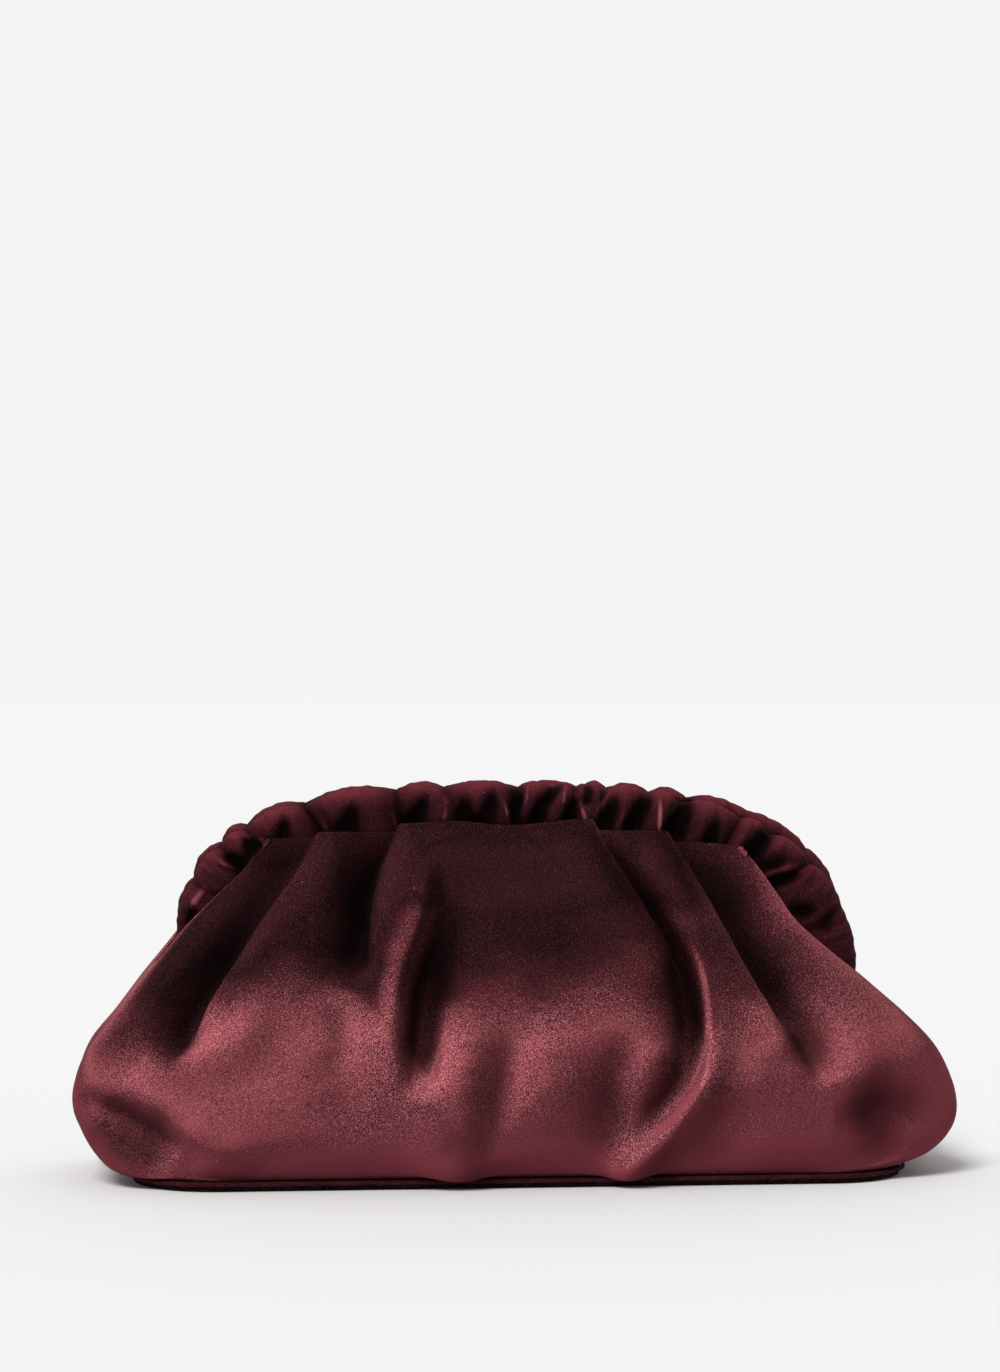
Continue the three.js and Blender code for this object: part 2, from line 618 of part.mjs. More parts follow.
function weltGeometry() {
  const sides = 6;
  const away = clearance + weltDiameter / 2;
  const outline = roundedRectangle(
    baseLength + 2 * away, baseWidth + 2 * away, baseCornerRadius + away);
  const cornerSteps = 9;
  const points = outline.extractPoints(cornerSteps).shape
    .map((point) => new THREE.Vector3(point.x, point.y, weltHeight));
  const path = points.filter((point, i) =>
    point.distanceTo(points[(i + 1) % points.length]) > clearance);
  return ringGeometry(tubeLoops(path, weltDiameter / 2, sides));
}

const group = new THREE.Group();
function add(name, geometry, material) {
  const mesh = new THREE.Mesh(geometry, material);
  mesh.name = name;
  group.add(mesh);
}

const front = { pleats: frontPleats, dents: frontDents, topEdge: frontTopEdge, facing: 1 };
const back = { pleats: backPleats, dents: backDents, topEdge: backTopEdge, facing: -1 };
const frontSleeve = { gathers: frontGathers, shoulders: frontShoulders, facing: 1 };
const backSleeve = { gathers: backGathers, shoulders: backShoulders, facing: -1 };
add('front_panel', panelGeometry(front), wine);
add('back_panel', panelGeometry(back), wine);
add('front_casing', sleeveGeometry(frontSleeve), wine);
add('back_casing', sleeveGeometry(backSleeve), wine);
add('closing_frame', frameGeometry(), steel);
add('base_panel', baseGeometry(), darkWine);
add('base_welt', weltGeometry(), wine);

export default group;
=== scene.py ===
"""A small clutch bag in burgundy velvet, standing on a pale floor.

Two pleated panels make the pouch, two gathered sleeves hide its closing frame, and a stiff
covered base carries it. Sizes are in metres, the front faces -Y and the floor is at Z 0.
"""

import math

import bmesh
import bpy
import numpy as np
from bpy.props import FloatProperty, PointerProperty, StringProperty
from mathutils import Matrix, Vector


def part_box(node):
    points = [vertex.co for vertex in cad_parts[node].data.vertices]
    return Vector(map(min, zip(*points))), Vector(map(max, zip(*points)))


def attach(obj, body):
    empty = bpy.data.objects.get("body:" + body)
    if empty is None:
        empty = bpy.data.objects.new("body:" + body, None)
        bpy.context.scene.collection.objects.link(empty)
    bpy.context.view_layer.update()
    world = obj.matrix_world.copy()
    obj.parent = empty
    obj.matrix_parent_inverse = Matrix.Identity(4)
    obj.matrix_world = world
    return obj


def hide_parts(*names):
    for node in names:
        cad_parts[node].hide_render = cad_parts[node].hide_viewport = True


bl_info = {
    "name": "Cloud Pouch Bag",
    "version": (1, 0, 0),
    "blender": (4, 5, 0),
    "location": "View3D > Sidebar > Pouch Bag",
    "description": "Dresses the pouch bag in pleated velvet, gathered sleeves and a covered base",
    "category": "Object",
}

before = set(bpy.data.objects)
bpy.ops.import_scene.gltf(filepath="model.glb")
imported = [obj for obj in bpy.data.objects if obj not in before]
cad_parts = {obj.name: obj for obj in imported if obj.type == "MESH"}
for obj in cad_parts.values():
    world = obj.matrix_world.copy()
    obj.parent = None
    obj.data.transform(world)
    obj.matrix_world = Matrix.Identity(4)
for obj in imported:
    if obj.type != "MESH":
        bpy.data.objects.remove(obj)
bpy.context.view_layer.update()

MM = 0.001
PICTURE_HEIGHT = 1372

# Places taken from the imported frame
BASE_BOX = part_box("base_panel")
SLEEVE_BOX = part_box("front_casing")
PANEL_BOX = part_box("front_panel")
BAG_HEIGHT = SLEEVE_BOX[1].z
HINGE_HEIGHT = SLEEVE_BOX[0].z
HALF_FRAME = SLEEVE_BOX[1].x
HALF_WIDTH = (PANEL_BOX[1].x - PANEL_BOX[0].x) / 2
SLEEVE_DEPTH = -SLEEVE_BOX[0].y
BASE_THICKNESS = BASE_BOX[1].z
BASE_LENGTH = BASE_BOX[1].x - BASE_BOX[0].x
BASE_WIDTH = BASE_BOX[1].y - BASE_BOX[0].y


class PouchSizes(bpy.types.PropertyGroup):
    """Sizes of the cloth and its folds."""

    belly_depth: FloatProperty(
        name="Belly depth", description="From the middle plane to the front of the belly",
        default=54 * MM, unit="LENGTH")
    cloth_wall: FloatProperty(
        name="Cloth wall", description="Thickness of the velvet with its backing",
        default=1.5 * MM, unit="LENGTH")
    clearance: FloatProperty(
        name="Clearance", description="Gap kept between two pieces that touch",
        default=0.3 * MM, unit="LENGTH")
    pleat_rise: FloatProperty(
        name="Pleat rise", description="How far a pleat's crest stands proud",
        default=4.2 * MM, unit="LENGTH")
    lip_depth: FloatProperty(
        name="Lip depth", description="How far a side's rolled edge stands before the sleeve",
        default=2.2 * MM, unit="LENGTH")
    seam_pucker: FloatProperty(
        name="Seam pucker", description="How far each side seam is drawn in",
        default=5 * MM, unit="LENGTH")
    gather_depth: FloatProperty(
        name="Gather depth", description="Depth of a sleeve's gathers",
        default=3.6 * MM, unit="LENGTH")
    sleeve_band: FloatProperty(
        name="Sleeve band", description="From the top of a sleeve to its foot",
        default=20 * MM, unit="LENGTH")
    base_corner: FloatProperty(
        name="Base corner", description="Corner radius of the base",
        default=30 * MM, unit="LENGTH")
    seam_inset: FloatProperty(
        name="Seam inset", description="How far the panels stand inside the base's edge",
        default=0.7 * MM, unit="LENGTH")


class VelvetLook(bpy.types.PropertyGroup):
    """Colours of the velvet."""

    # deep is the painted shade where the cloth faces the painted sheen's direction, body the painted sheen
    # low on the belly, and bloom the colour of the painted glints on single tufts and the tint of the
    # sheen.
    deep: StringProperty(
        name="Deep", description="Colour where the pile stands towards the eye, as sRGB hex",
        default="#2a0d13")
    body: StringProperty(
        name="Body", description="Colour low on the belly, where the pile lies over, as sRGB hex",
        default="#642c34")
    bloom: StringProperty(
        name="Bloom", description="Colour of single tufts that catch the light, as sRGB hex",
        default="#c07e80")
    lint: StringProperty(
        name="Lint", description="Colour of the specks of lint, as sRGB hex", default="#c49a90")


class StageLook(bpy.types.PropertyGroup):
    """Camera and light."""

    camera_distance: FloatProperty(
        name="Camera distance", description="From the bag's middle to the camera",
        default=1.144, unit="LENGTH")
    camera_height: FloatProperty(
        name="Camera height", description="Height of the camera above the floor",
        default=0.175, unit="LENGTH")
    camera_azimuth: FloatProperty(
        name="Camera azimuth", description="Turn of the camera round the bag",
        default=math.radians(-5), subtype="ANGLE")
    focal_pixels: FloatProperty(
        name="Focal length", description="Focal length in pixels of the picture", default=3150)
    middle_pixel: FloatProperty(
        name="Middle", default=15.5,
        description="How far right of the picture's middle the bag stands, in pixels")
    floor_tone: StringProperty(
        name="Floor", description="Colour of the floor, as sRGB hex", default="#eaeaea")


# Cross sections of the pouch, from the sleeve down to the underside of the belly.
# up: share of the bag's height. left, right: half widths as shares of a size between half
# the frame's width, at swell 0, and half the bag's, at swell 1. out: depth of the middle,
# from the seam at 0 to the belly at 1. square: power of the superellipse.
SECTION_COLUMNS = ("up", "left", "right", "swell", "out", "square")
SECTIONS = [dict(zip(SECTION_COLUMNS, row)) for row in (
    (0.908, 0.691, 0.594, 0.0, 0.0, 2.0),
    (0.851, 0.731, 0.627, 0.0, 0.13, 2.0),
    (0.78, 0.792, 0.691, 0.0, 0.3, 2.0),
    (0.709, 0.876, 0.747, 0.0, 0.45, 2.05),
    (0.638, 0.919, 0.768, 0.15, 0.57, 2.1),
    (0.567, 0.945, 0.819, 0.3, 0.68, 2.15),
    (0.496, 0.958, 0.872, 0.5, 0.77, 2.2),
    (0.411, 0.964, 0.922, 0.75, 0.86, 2.25),
    (0.326, 0.973, 0.946, 1.0, 0.93, 2.3),
    (0.241, 1.0, 0.984, 1.0, 0.985, 2.45),
    (0.17, 1.0, 0.996, 1.0, 1.0, 2.6),
    (0.113, 0.983, 0.988, 1.0, 0.98, 2.85),
    (0.071, 0.962, 0.962, 1.0, 0.92, 3.1),
    (0.045, 0.93, 0.93, 1.0, 0.85, 3.3),
    (0.034, 0.894, 0.894, 1.0, 0.79, 3.4),
)]
LAST_ROW = len(SECTIONS)
# Rows over which the cloth settles into the outline of the base
SEAT_ROWS = 3
# Places along the sections at which their curve is measured, and how far from a place its
# neighbours are taken to find its direction
FINE_ROWS = 400
PROBE = 0.02
# Shares of the bag's height between which each side closes round the end of the sleeves
WRAP = dict(left=(0.567, 0.525), right=(0.481, 0.454))
# How far below that a side seam is drawn in fully
PUCKER_FADE = 20 * MM
# How far below the sleeve the cloth has swelled to its full section
SETTLE_HEIGHT = 30 * MM
# How far a side's rolled edge turns in, against its depth
LIP_ROLL = dict(across=0.6, back=0.8)
# How far a panel runs on from the side's edge to its seam, as turn goes from 0 in the middle
# to 1 at that edge
SIDE_SPAN = 0.3
# Heights, in mm, above which a side seam is an edge that lies free and flat on the sleeve
FREE_SIDE = (68, 84)
# How far past the base's edge, in mm, the cloth starts to hang lower than it, and hangs free
BASE_OVERHANG = (0.8, 3)

# Pleats of the front, outwards from the middle. side: -1 left, 1 right. rise: share of the
# pleat rise. reach: how far the fold slopes back to the middle, in mm. step: width of its
# steep side, in mm. lap: how far its crest hangs over the steep side at the top, in mm.
# fade: heights between which it dies away. across: share of the half width there.
FRONT_PLEATS = [
    dict(name="left outer", side=-1, rise=0.8, reach=26, step=5, lap=2.4, fade=(0.46, 0.34),
         across=(0.775, 0.762, 0.768, 0.777, 0.775, 0.77),
         up=(0.861, 0.709, 0.509, 0.357, 0.142, 0.03)),
    dict(name="left inner", side=-1, rise=0.9, reach=14, step=4.5, lap=2.2, fade=(0.68, 0.54),
         across=(0.459, 0.483, 0.435, 0.42, 0.39, 0.39),
         up=(0.898, 0.775, 0.643, 0.496, 0.255, 0.03)),
    dict(name="right inner", side=1, rise=0.9, reach=22, step=4.5, lap=2.4, fade=(0.62, 0.5),
         across=(0.312, 0.435, 0.468, 0.444, 0.392, 0.325, 0.26),
         up=(0.908, 0.671, 0.577, 0.404, 0.284, 0.201, 0.03)),
    dict(name="right outer", side=1, rise=0.9, reach=20, step=4.5, lap=2.2, fade=(0.46, 0.36),
         across=(0.66, 0.689, 0.62, 0.651, 0.66, 0.66),
         up=(0.879, 0.628, 0.438, 0.355, 0.177, 0.03)),
]
FRONT_TOP = (0.857, 0.859, 0.873, 0.873, 0.894, 0.899, 0.889, 0.904, 0.875, 0.873, 0.845, 0.832)
# Columns of the panels' mesh: from each side's edge to its seam, and between the pleats' edges
SIDE_COLUMNS = 16
PANEL_FILLS = (52, 8, 40, 8, 26, 34, 26, 8, 36, 8, 44)
PANEL_ROWS = 132
# Lines of the mesh between the two inner pleats, as shares of the way
MIDDLE_LINES = (0.25, 0.55)


def soft_fold(name, left, right, crisp, *path):
    """A soft fold along a path from its top down. left, right: widths of its two flanks, in
    mm. crisp: 0 gives it a round top and 1 a sharp one. path: x and z in mm with the rise in
    mm there, which is below 0 in a hollow."""
    return dict(name=name, left=left, right=right, crisp=crisp, path=path)


FRONT_FOLDS = [
    soft_fold("hollow by the left outer pleat", 8, 5, 0,
        (-73, 119, -1.5), (-80, 111, -2.4), (-89, 99.5, -2.8), (-98, 87, -4), (-107, 75, -6.4),
        (-114.5, 63, -8.5), (-119.5, 54, -7.5), (-122.5, 48, -4), (-124, 42, 0)),
    soft_fold("hollow by the left inner pleat", 9.5, 5, 0,
        (-45, 123, -3), (-50, 112, -5.5), (-54, 102, -7.5), (-56, 92, -8), (-58.5, 82, -6.5),
        (-61, 70, 0)),
    soft_fold("left middle fold", 5.5, 4, 0.3,
        (-34, 114, 0), (-34.5, 105, 2), (-35, 97, 2.8), (-37.5, 88, 3.4), (-41.5, 79, 3.8),
        (-44, 69, 3.8), (-45, 58, 3.2), (-45, 46, 1.8), (-44, 34, 0)),
    soft_fold("hollow by the left middle fold", 5, 11, 0,
        (-27, 114, 0), (-28, 104, -1.6), (-29, 96, -3.2), (-31, 88, -5.4), (-34.5, 79, -7.5),
        (-37, 69, -9), (-38, 60, -9.5), (-38.5, 51, -9), (-38.5, 43, -6), (-39, 33, 0)),
    soft_fold("wall right of the middle fold", 4, 14, 0.3,
        (-27, 70, 0), (-28, 62, 2.8), (-29, 53, 4), (-30, 44, 3.4), (-31, 33, 0)),
    soft_fold("hollow by the right inner pleat", 7.5, 4.5, 0,
        (32, 117, -3), (39.5, 107, -6.4), (46.5, 98, -9), (52, 89, -10.6), (56, 79, -11),
        (58, 69, -10), (59, 59, -8.6), (58, 49.5, -7.8), (55.5, 41, -6.6), (50, 33, -5.4),
        (43, 25.5, -3.6), (34, 18.5, 0)),
    soft_fold("right middle fold", 2.4, 7, 0.5,
        (39, 114, 0), (43.5, 108, 2.2), (52, 95.5, 3), (58.5, 85, 3.2), (62.5, 76, 3.2),
        (64.3, 64, 3.4), (64.3, 52, 3.8), (61.5, 40, 3.8), (56.5, 30.5, 3.4), (49, 22, 2.8),
        (39, 15.5, 2.2), (27, 9, 0)),
    soft_fold("lip over the right fold", 9, 3.5, 0.4,
        (56, 54, 0), (54.5, 46, 1.6), (50, 38, 2), (42, 30, 1.4), (35, 24, 0)),
    soft_fold("hollow by the right outer pleat", 4.5, 11, 0,
        (54.5, 120, -2), (62.5, 107, -5), (71, 93, -6.5), (78, 80, -7.5), (85, 69, -8),
        (92.5, 59, -7.5), (99, 50, -7), (103, 43, -5), (105.5, 35, 0)),
    soft_fold("fold at the right outer pleat's end", 12, 4, 0.2,
        (80, 66, 0), (86, 59, 1.2), (93, 54, 1.6), (98, 48, 0)),
    soft_fold("right shoulder fold", 14, 12, 0,
        (86, 108, 0), (97, 92, 1.5), (106, 76, 2.2), (114, 58, 2.4), (117, 44, 1.2), (118, 34, 0)),
    soft_fold("left belly valley", 10, 10, 0,
        (-91, 72, 0), (-90, 62, -1.2), (-89, 52, -1.4), (-87, 40, 0)),
    soft_fold("ridge under the left outer hollow", 8, 7, 0.2,
        (-134, 46, 0), (-121, 42.6, 1.6), (-109, 46, 2.4), (-99, 52, 2.4), (-92, 60, 2),
        (-82, 71, 0)),
    soft_fold("dent over the left belly", 5, 5, 0.3,
        (-67, 66, 0), (-65.5, 60, -2.6), (-64, 53, -2.6), (-62, 44, 0)),
    soft_fold("slanting ridge of the left belly", 10, 6, 0.2,
        (-67, 76, 0), (-60, 66, 2), (-52, 54, 3), (-44, 41, 3), (-36, 29, 2), (-28, 18, 0)),
    soft_fold("second belly valley", 10, 9, 0,
        (-70, 50, 0), (-68, 42, -1.6), (-65, 30, -1.6), (-62, 16, 0)),
    soft_fold("middle belly valley", 9, 3.8, 0.2,
        (-7, 56, 0), (-6, 47, -2.4), (-7.5, 36, -3.2), (-9.5, 24, -2.2), (-11, 12, 0)),
    soft_fold("middle belly fold", 7, 14, 0,
        (4, 62, 0), (6, 50, 2), (6, 36, 2.2), (4, 20, 0)),
    soft_fold("left lobe", 15, 11, 0,
        (-26, 48, 0), (-26, 34, 2.6), (-25, 22, 3.4), (-25, 10, 2.4), (-25, 4, 0)),
    soft_fold("right belly valley", 10, 3.8, 0.2,
        (37, 56, 0), (34, 45, -2.4), (31.5, 32, -3.8), (29.5, 19, -3.4), (27, 9, -1.2), (26, 4, 0)),
    soft_fold("right lobe", 11, 10, 0,
        (45, 26, 0), (41, 18, 1.2), (36, 11, 2), (33, 4, 0)),
    soft_fold("left corner crease", 4, 4, 0,
        (-155, 33, 0), (-146.5, 28.5, -2.6), (-137, 26.5, -3), (-127.5, 22, -3), (-119, 15, -2),
        (-113, 9, 0)),
    # A dent whose depth the material darkens as painted shade on the left corner
    soft_fold("shade on the left corner", 11, 9, 0,
        (-149, 24, 0), (-140, 19.5, -3.2), (-131, 16.5, -3.8), (-122, 12, 0)),
    soft_fold("ridge from the left corner", 7, 12, 0.2,
        (-141, 35, 0), (-131, 30.5, 1.8), (-118, 22, 2.2), (-106, 13, 1.8), (-97, 5, 0)),
    soft_fold("right corner hollow", 7, 11, 0,
        (114, 30, 0), (119, 25, -3.4), (123, 19, -4.4), (126, 13, -4), (129, 6, -2), (130, 2, 0)),
    soft_fold("dent towards the right end", 6, 8, 0,
        (119, 22, 0), (129, 27, -2.6), (138, 25, -3), (145, 18, -1.6), (147, 10, 0)),
    soft_fold("hollow left of the lower right belly", 9, 10, 0,
        (74, 34, 0), (70, 24, -1.2), (66, 12, -1.4), (64, 5, 0)),
]
# How the belly sags over the base in front: place across in mm, half width in mm, drop in mm
FRONT_SAGS = ((-24, 13, 4.0), (33, 12, 4.6), (-136, 14, 4.0), (-156, 12, -4.0), (-98, 18, 1.0),
              (78, 9, 0.8), (150, 17, -2.5))

BACK_PLEATS = [
    dict(name="left outer", side=-1, rise=0.9, reach=26, step=5, lap=2.2, fade=(0.5, 0.36),
         across=(0.72, 0.73, 0.75, 0.75, 0.75), up=(0.88, 0.7, 0.5, 0.3, 0.03)),
    dict(name="left inner", side=-1, rise=0.9, reach=22, step=4.5, lap=2.2, fade=(0.5, 0.34),
         across=(0.36, 0.42, 0.44, 0.42, 0.4), up=(0.9, 0.7, 0.5, 0.3, 0.03)),
    dict(name="right inner", side=1, rise=0.9, reach=20, step=4.5, lap=2.2, fade=(0.56, 0.4),
         across=(0.4, 0.43, 0.41, 0.4, 0.4), up=(0.9, 0.7, 0.5, 0.3, 0.03)),
    dict(name="right outer", side=1, rise=0.9, reach=24, step=4.5, lap=2.2, fade=(0.5, 0.34),
         across=(0.7, 0.72, 0.73, 0.74, 0.74), up=(0.88, 0.7, 0.5, 0.3, 0.03)),
]
BACK_TOP = (0.845, 0.85, 0.868, 0.87, 0.888, 0.896, 0.89, 0.892, 0.874, 0.87, 0.85, 0.84)
BACK_FOLDS = [
    soft_fold("hollow by the left outer pleat", 9, 4.5, 0,
        (-70, 118, -2), (-83, 102, -5), (-95, 85, -6.5), (-106, 68, -6.5), (-114, 54, -5),
        (-119, 43, 0)),
    soft_fold("hollow by the left inner pleat", 8, 4, 0,
        (-36, 122, -2), (-45, 105, -4.5), (-53, 88, -6), (-58, 72, -6), (-61, 58, -4.5),
        (-62, 46, 0)),
    soft_fold("hollow by the right inner pleat", 4, 8, 0,
        (38, 121, -2), (46, 105, -4.5), (53, 89, -6), (57, 75, -5), (60, 62, 0)),
    soft_fold("hollow by the right outer pleat", 4.5, 9, 0,
        (68, 118, -2), (80, 102, -5), (92, 86, -6.5), (103, 70, -6), (111, 56, -4.5), (116, 45, 0)),
    soft_fold("middle fold", 14, 10, 0.2,
        (8, 112, 0), (9, 92, 2), (5, 66, 2.6), (3, 40, 1.5), (2, 24, 0)),
    soft_fold("middle hollow", 8, 11, 0,
        (-14, 78, 0), (-17, 60, -2.4), (-15, 42, -3), (-14, 24, 0)),
    soft_fold("left belly valley", 10, 10, 0,
        (-92, 66, 0), (-90, 52, -2), (-88, 38, -2.2), (-86, 24, 0)),
    soft_fold("left belly fold", 10, 9, 0.3,
        (-72, 58, 0), (-70, 46, 2), (-66, 32, 2), (-62, 18, 0)),
    soft_fold("right belly valley", 10, 9, 0,
        (86, 68, 0), (88, 54, -2.2), (86, 38, -2.4), (84, 22, 0)),
    soft_fold("right belly fold", 9, 10, 0.3,
        (64, 62, 0), (66, 48, 2.2), (63, 34, 2.2), (58, 20, 0)),
    soft_fold("right middle valley", 7, 7, 0,
        (36, 52, 0), (35, 40, -2.6), (32, 26, -3), (30, 14, 0)),
    soft_fold("left corner crease", 6, 6, 0,
        (-156, 34, 0), (-147, 26, -3.4), (-134, 20, -3.6), (-120, 11, 0)),
    soft_fold("right corner crease", 6, 6, 0,
        (156, 33, 0), (147, 25, -3.2), (134, 19, -3.4), (121, 10, 0)),
]
BACK_SAGS = ((-40, 16, 3.0), (22, 14, 3.4), (92, 18, 2.0))

# Gathers of a sleeve. foot, top: where a valley crosses the foot and the top line, as shares
# of the arch. depth: share of the gather depth. band: share of the sleeve's band there.
FRONT_GATHERS = [
    (0.076, 0.063, 0.25, 1.0), (0.118, 0.12, 0.3, 1.0), (0.168, 0.17, 0.55, 1.0),
    (0.214, 0.203, 0.6, 1.0), (0.29, 0.273, 0.8, 1.0), (0.377, 0.374, 0.7, 1.0),
    (0.451, 0.425, 0.5, 1.0), (0.502, 0.504, 1.1, 1.0), (0.524, 0.545, 0.6, 1.0),
    (0.56, 0.57, 0.6, 1.0), (0.596, 0.6, 0.7, 1.0), (0.634, 0.645, 0.6, 1.0),
    (0.681, 0.686, 1.2, 1.0), (0.743, 0.757, 0.6, 1.1), (0.785, 0.793, 0.8, 1.21),
    (0.822, 0.85, 0.6, 1.28), (0.918, 0.912, 0.25, 1.28),
]
BACK_GATHERS = [
    (0.08, 0.066, 0.5, 1.0), (0.14, 0.123, 0.6, 1.0), (0.19, 0.174, 0.8, 1.0),
    (0.22, 0.208, 0.8, 1.0), (0.28, 0.277, 1.0, 1.0), (0.36, 0.378, 1.0, 1.0),
    (0.42, 0.43, 0.9, 1.0), (0.5, 0.509, 1.0, 1.0),
    (0.56, 0.575, 0.9, 1.0), (0.6, 0.605, 0.9, 1.0), (0.64, 0.65, 0.9, 1.0),
    (0.7, 0.692, 1.0, 1.0), (0.77, 0.762, 0.3, 1.16), (0.83, 0.84, 0.3, 1.28),
    (0.9, 0.895, 0.2, 1.28),
]
# Tucks of a sleeve between its gathers, each a straight crease from its upper end to its
# lower one: share of the arch and way down the band at each end, half width in mm at each
# end, and rise in mm, which is below 0 in a hollow.
FRONT_TUCKS = [
    (0.098, 0.2, 0.074, 0.3, 1.5, 3.0, -2.6), (0.09, 0.2, 0.122, 0.3, 1.6, 1.6, 1.2),
    (0.168, 0.15, 0.176, 0.66, 1.2, 3.6, -2.8), (0.157, 0.18, 0.168, 0.62, 1.2, 1.4, 1.3),
    (0.196, 0.15, 0.2, 0.55, 1.0, 3.4, -2.4), (0.213, 0.3, 0.217, 0.62, 1.0, 1.2, 1.1),
    (0.25, 0.15, 0.235, 0.6, 1.2, 3.4, -2.2), (0.287, 0.4, 0.296, 0.9, 0.9, 1.2, 1.3),
    (0.328, 0.2, 0.313, 0.8, 1.2, 4.6, -2.6), (0.368, 0.5, 0.376, 0.95, 1.0, 1.3, 1.2),
    (0.408, 0.2, 0.386, 0.85, 1.2, 4.0, -3.0), (0.43, 0.2, 0.425, 0.7, 2.0, 2.0, 0.8),
    (0.447, 0.25, 0.45, 0.85, 1.4, 3.6, -2.2), (0.481, 0.1, 0.468, 0.85, 1.2, 3.4, -2.6),
    (0.49, 0.3, 0.499, 0.88, 1.0, 1.3, 1.7), (0.51, 0.1, 0.502, 0.8, 1.0, 2.0, -2.4),
    (0.517, 0.1, 0.508, 0.7, 1.0, 1.2, 1.2), (0.533, 0.25, 0.522, 0.9, 1.2, 3.4, -2.8),
    (0.555, -0.05, 0.533, 0.42, 1.6, 1.8, -2.4), (0.557, 0.1, 0.555, 0.4, 1.0, 1.0, 1.0),
    (0.568, 0.25, 0.56, 0.85, 1.2, 3.0, -2.4), (0.573, 0.35, 0.581, 0.7, 1.0, 1.1, 1.3),
    (0.585, -0.05, 0.581, 0.4, 1.6, 1.6, -2.0), (0.607, 0.1, 0.592, 0.6, 1.0, 1.4, 1.2),
    (0.615, 0.2, 0.602, 0.88, 1.2, 2.8, -2.6), (0.625, 0.35, 0.618, 0.85, 1.0, 1.2, 1.1),
    (0.653, 0.05, 0.63, 0.8, 1.4, 3.2, -2.8), (0.661, 0.1, 0.668, 0.85, 1.0, 1.4, 1.7),
    (0.697, -0.05, 0.681, 0.85, 1.4, 4.0, -3.2), (0.691, -0.05, 0.676, 0.4, 1.0, 1.0, 0.9),
    (0.73, 0.2, 0.727, 0.8, 1.4, 3.4, -2.2), (0.793, -0.05, 0.778, 0.62, 1.6, 3.4, -3.4),
    (0.765, 0.3, 0.76, 0.65, 1.4, 1.6, 0.8), (0.842, 0.2, 0.812, 0.68, 1.2, 1.4, 1.8),
    (0.85, 0.3, 0.822, 0.72, 1.6, 2.6, -2.2), (0.829, 0.2, 0.8, 0.7, 2.0, 3.0, -1.8),
    (0.87, 0.8, 0.9, 0.5, 3.0, 2.2, -2.0), (0.905, 0.15, 0.93, 0.5, 1.6, 2.6, -1.2),
]
BACK_TUCKS = [
    (0.1, 0.2, 0.11, 0.7, 1.2, 3.0, -2.2), (0.17, 0.15, 0.18, 0.7, 1.2, 3.2, -2.4),
    (0.166, 0.2, 0.17, 0.6, 1.0, 1.3, 1.1), (0.23, 0.15, 0.225, 0.8, 1.2, 3.4, -2.6),
    (0.28, 0.2, 0.29, 0.8, 1.2, 3.6, -2.2), (0.3, 0.3, 0.303, 0.9, 1.0, 1.2, 1.3),
    (0.35, 0.1, 0.36, 0.85, 1.2, 3.6, -2.8), (0.42, 0.15, 0.41, 0.85, 1.2, 3.4, -2.4),
    (0.43, 0.2, 0.436, 0.8, 1.0, 1.2, 1.4), (0.49, 0.1, 0.485, 0.85, 1.2, 3.4, -2.8),
    (0.5, 0.2, 0.498, 0.85, 1.0, 1.2, 1.3), (0.55, 0.1, 0.555, 0.85, 1.2, 3.0, -2.6),
    (0.61, 0.1, 0.62, 0.85, 1.2, 3.4, -2.6), (0.6, 0.25, 0.604, 0.85, 1.0, 1.2, 1.3),
    (0.67, 0.15, 0.66, 0.85, 1.2, 3.2, -2.4), (0.74, 0.1, 0.745, 0.75, 1.2, 3.4, -2.6),
    (0.8, 0.1, 0.81, 0.7, 1.4, 3.2, -2.4), (0.79, 0.2, 0.796, 0.65, 1.0, 1.3, 1.2),
    (0.86, 0.2, 0.87, 0.7, 1.6, 3.0, -2.2), (0.92, 0.3, 0.93, 0.6, 1.8, 2.6, -1.8),
]
# How a panel's cloth takes its folds. Lengths are in mm, and places across are shares of the
# way from the middle to the side's edge. pleat_top, fold_top: share of a pleat's or a soft fold's
# rise at the sleeve, and how far below it the fold is whole. lap_reach: how far inwards a
# pleat's crest is pulled along, in widths of its steep side. softening: how often the soft
# folds are averaged. pleat_hollow: how much of a pleat's rise counts as the opposite of a
# hollow, which paints its crest lighter. flat_side: where a free side starts to lie flat.
# lap_side: where the laps end. sag: heights between which the sags grow. rolled: how deep the
# top edge turns in, and how far.
DRAPE = {
    "pleat_top": (0.3, 14), "fold_top": (0.4, 9), "lap_reach": 2.5, "softening": 3,
    "pleat_hollow": 0.4, "flat_side": 0.87, "lap_side": 0.93, "sag": (36, 12), "rolled": (5, 1),
}
# Short pieces from which a soft fold's path is drawn, for each of its points, and how fast the
# flanks of a crisp fold fall away
PATH_STEPS = 5
CRISP_FALL = 1.6
# Painted sheen and shade of the velvet, set by a direction that stands for the way the pile lies:
# the cloth is painted dark where it faces that way and lighter where it turns from it. across,
# up: the direction in the middle, against 1 to the front. fan: how that turns across the bag,
# per metre. folds: how far it follows the folds. turn: how its lean changes across the bag, in
# radians per metre. lift: how much less it leans above the belly, in radians, which paints the
# top darker. band: the height of that change in mm, over its place across, in mm, and soft:
# half its depth, in mm.
PAINTED_SHEEN = {
    "across": -0.27, "up": 0.93, "fan": -1.0, "folds": 0.45, "turn": 0.7, "lift": 0.5, "soft": 19,
    "band": ((-150, 52), (-110, 66), (-85, 74), (-59, 66), (-40, 57), (-24, 63), (2, 55), (29, 64),
             (50, 50), (64, 41), (78, 49), (96, 57), (115, 52), (150, 44)),
}
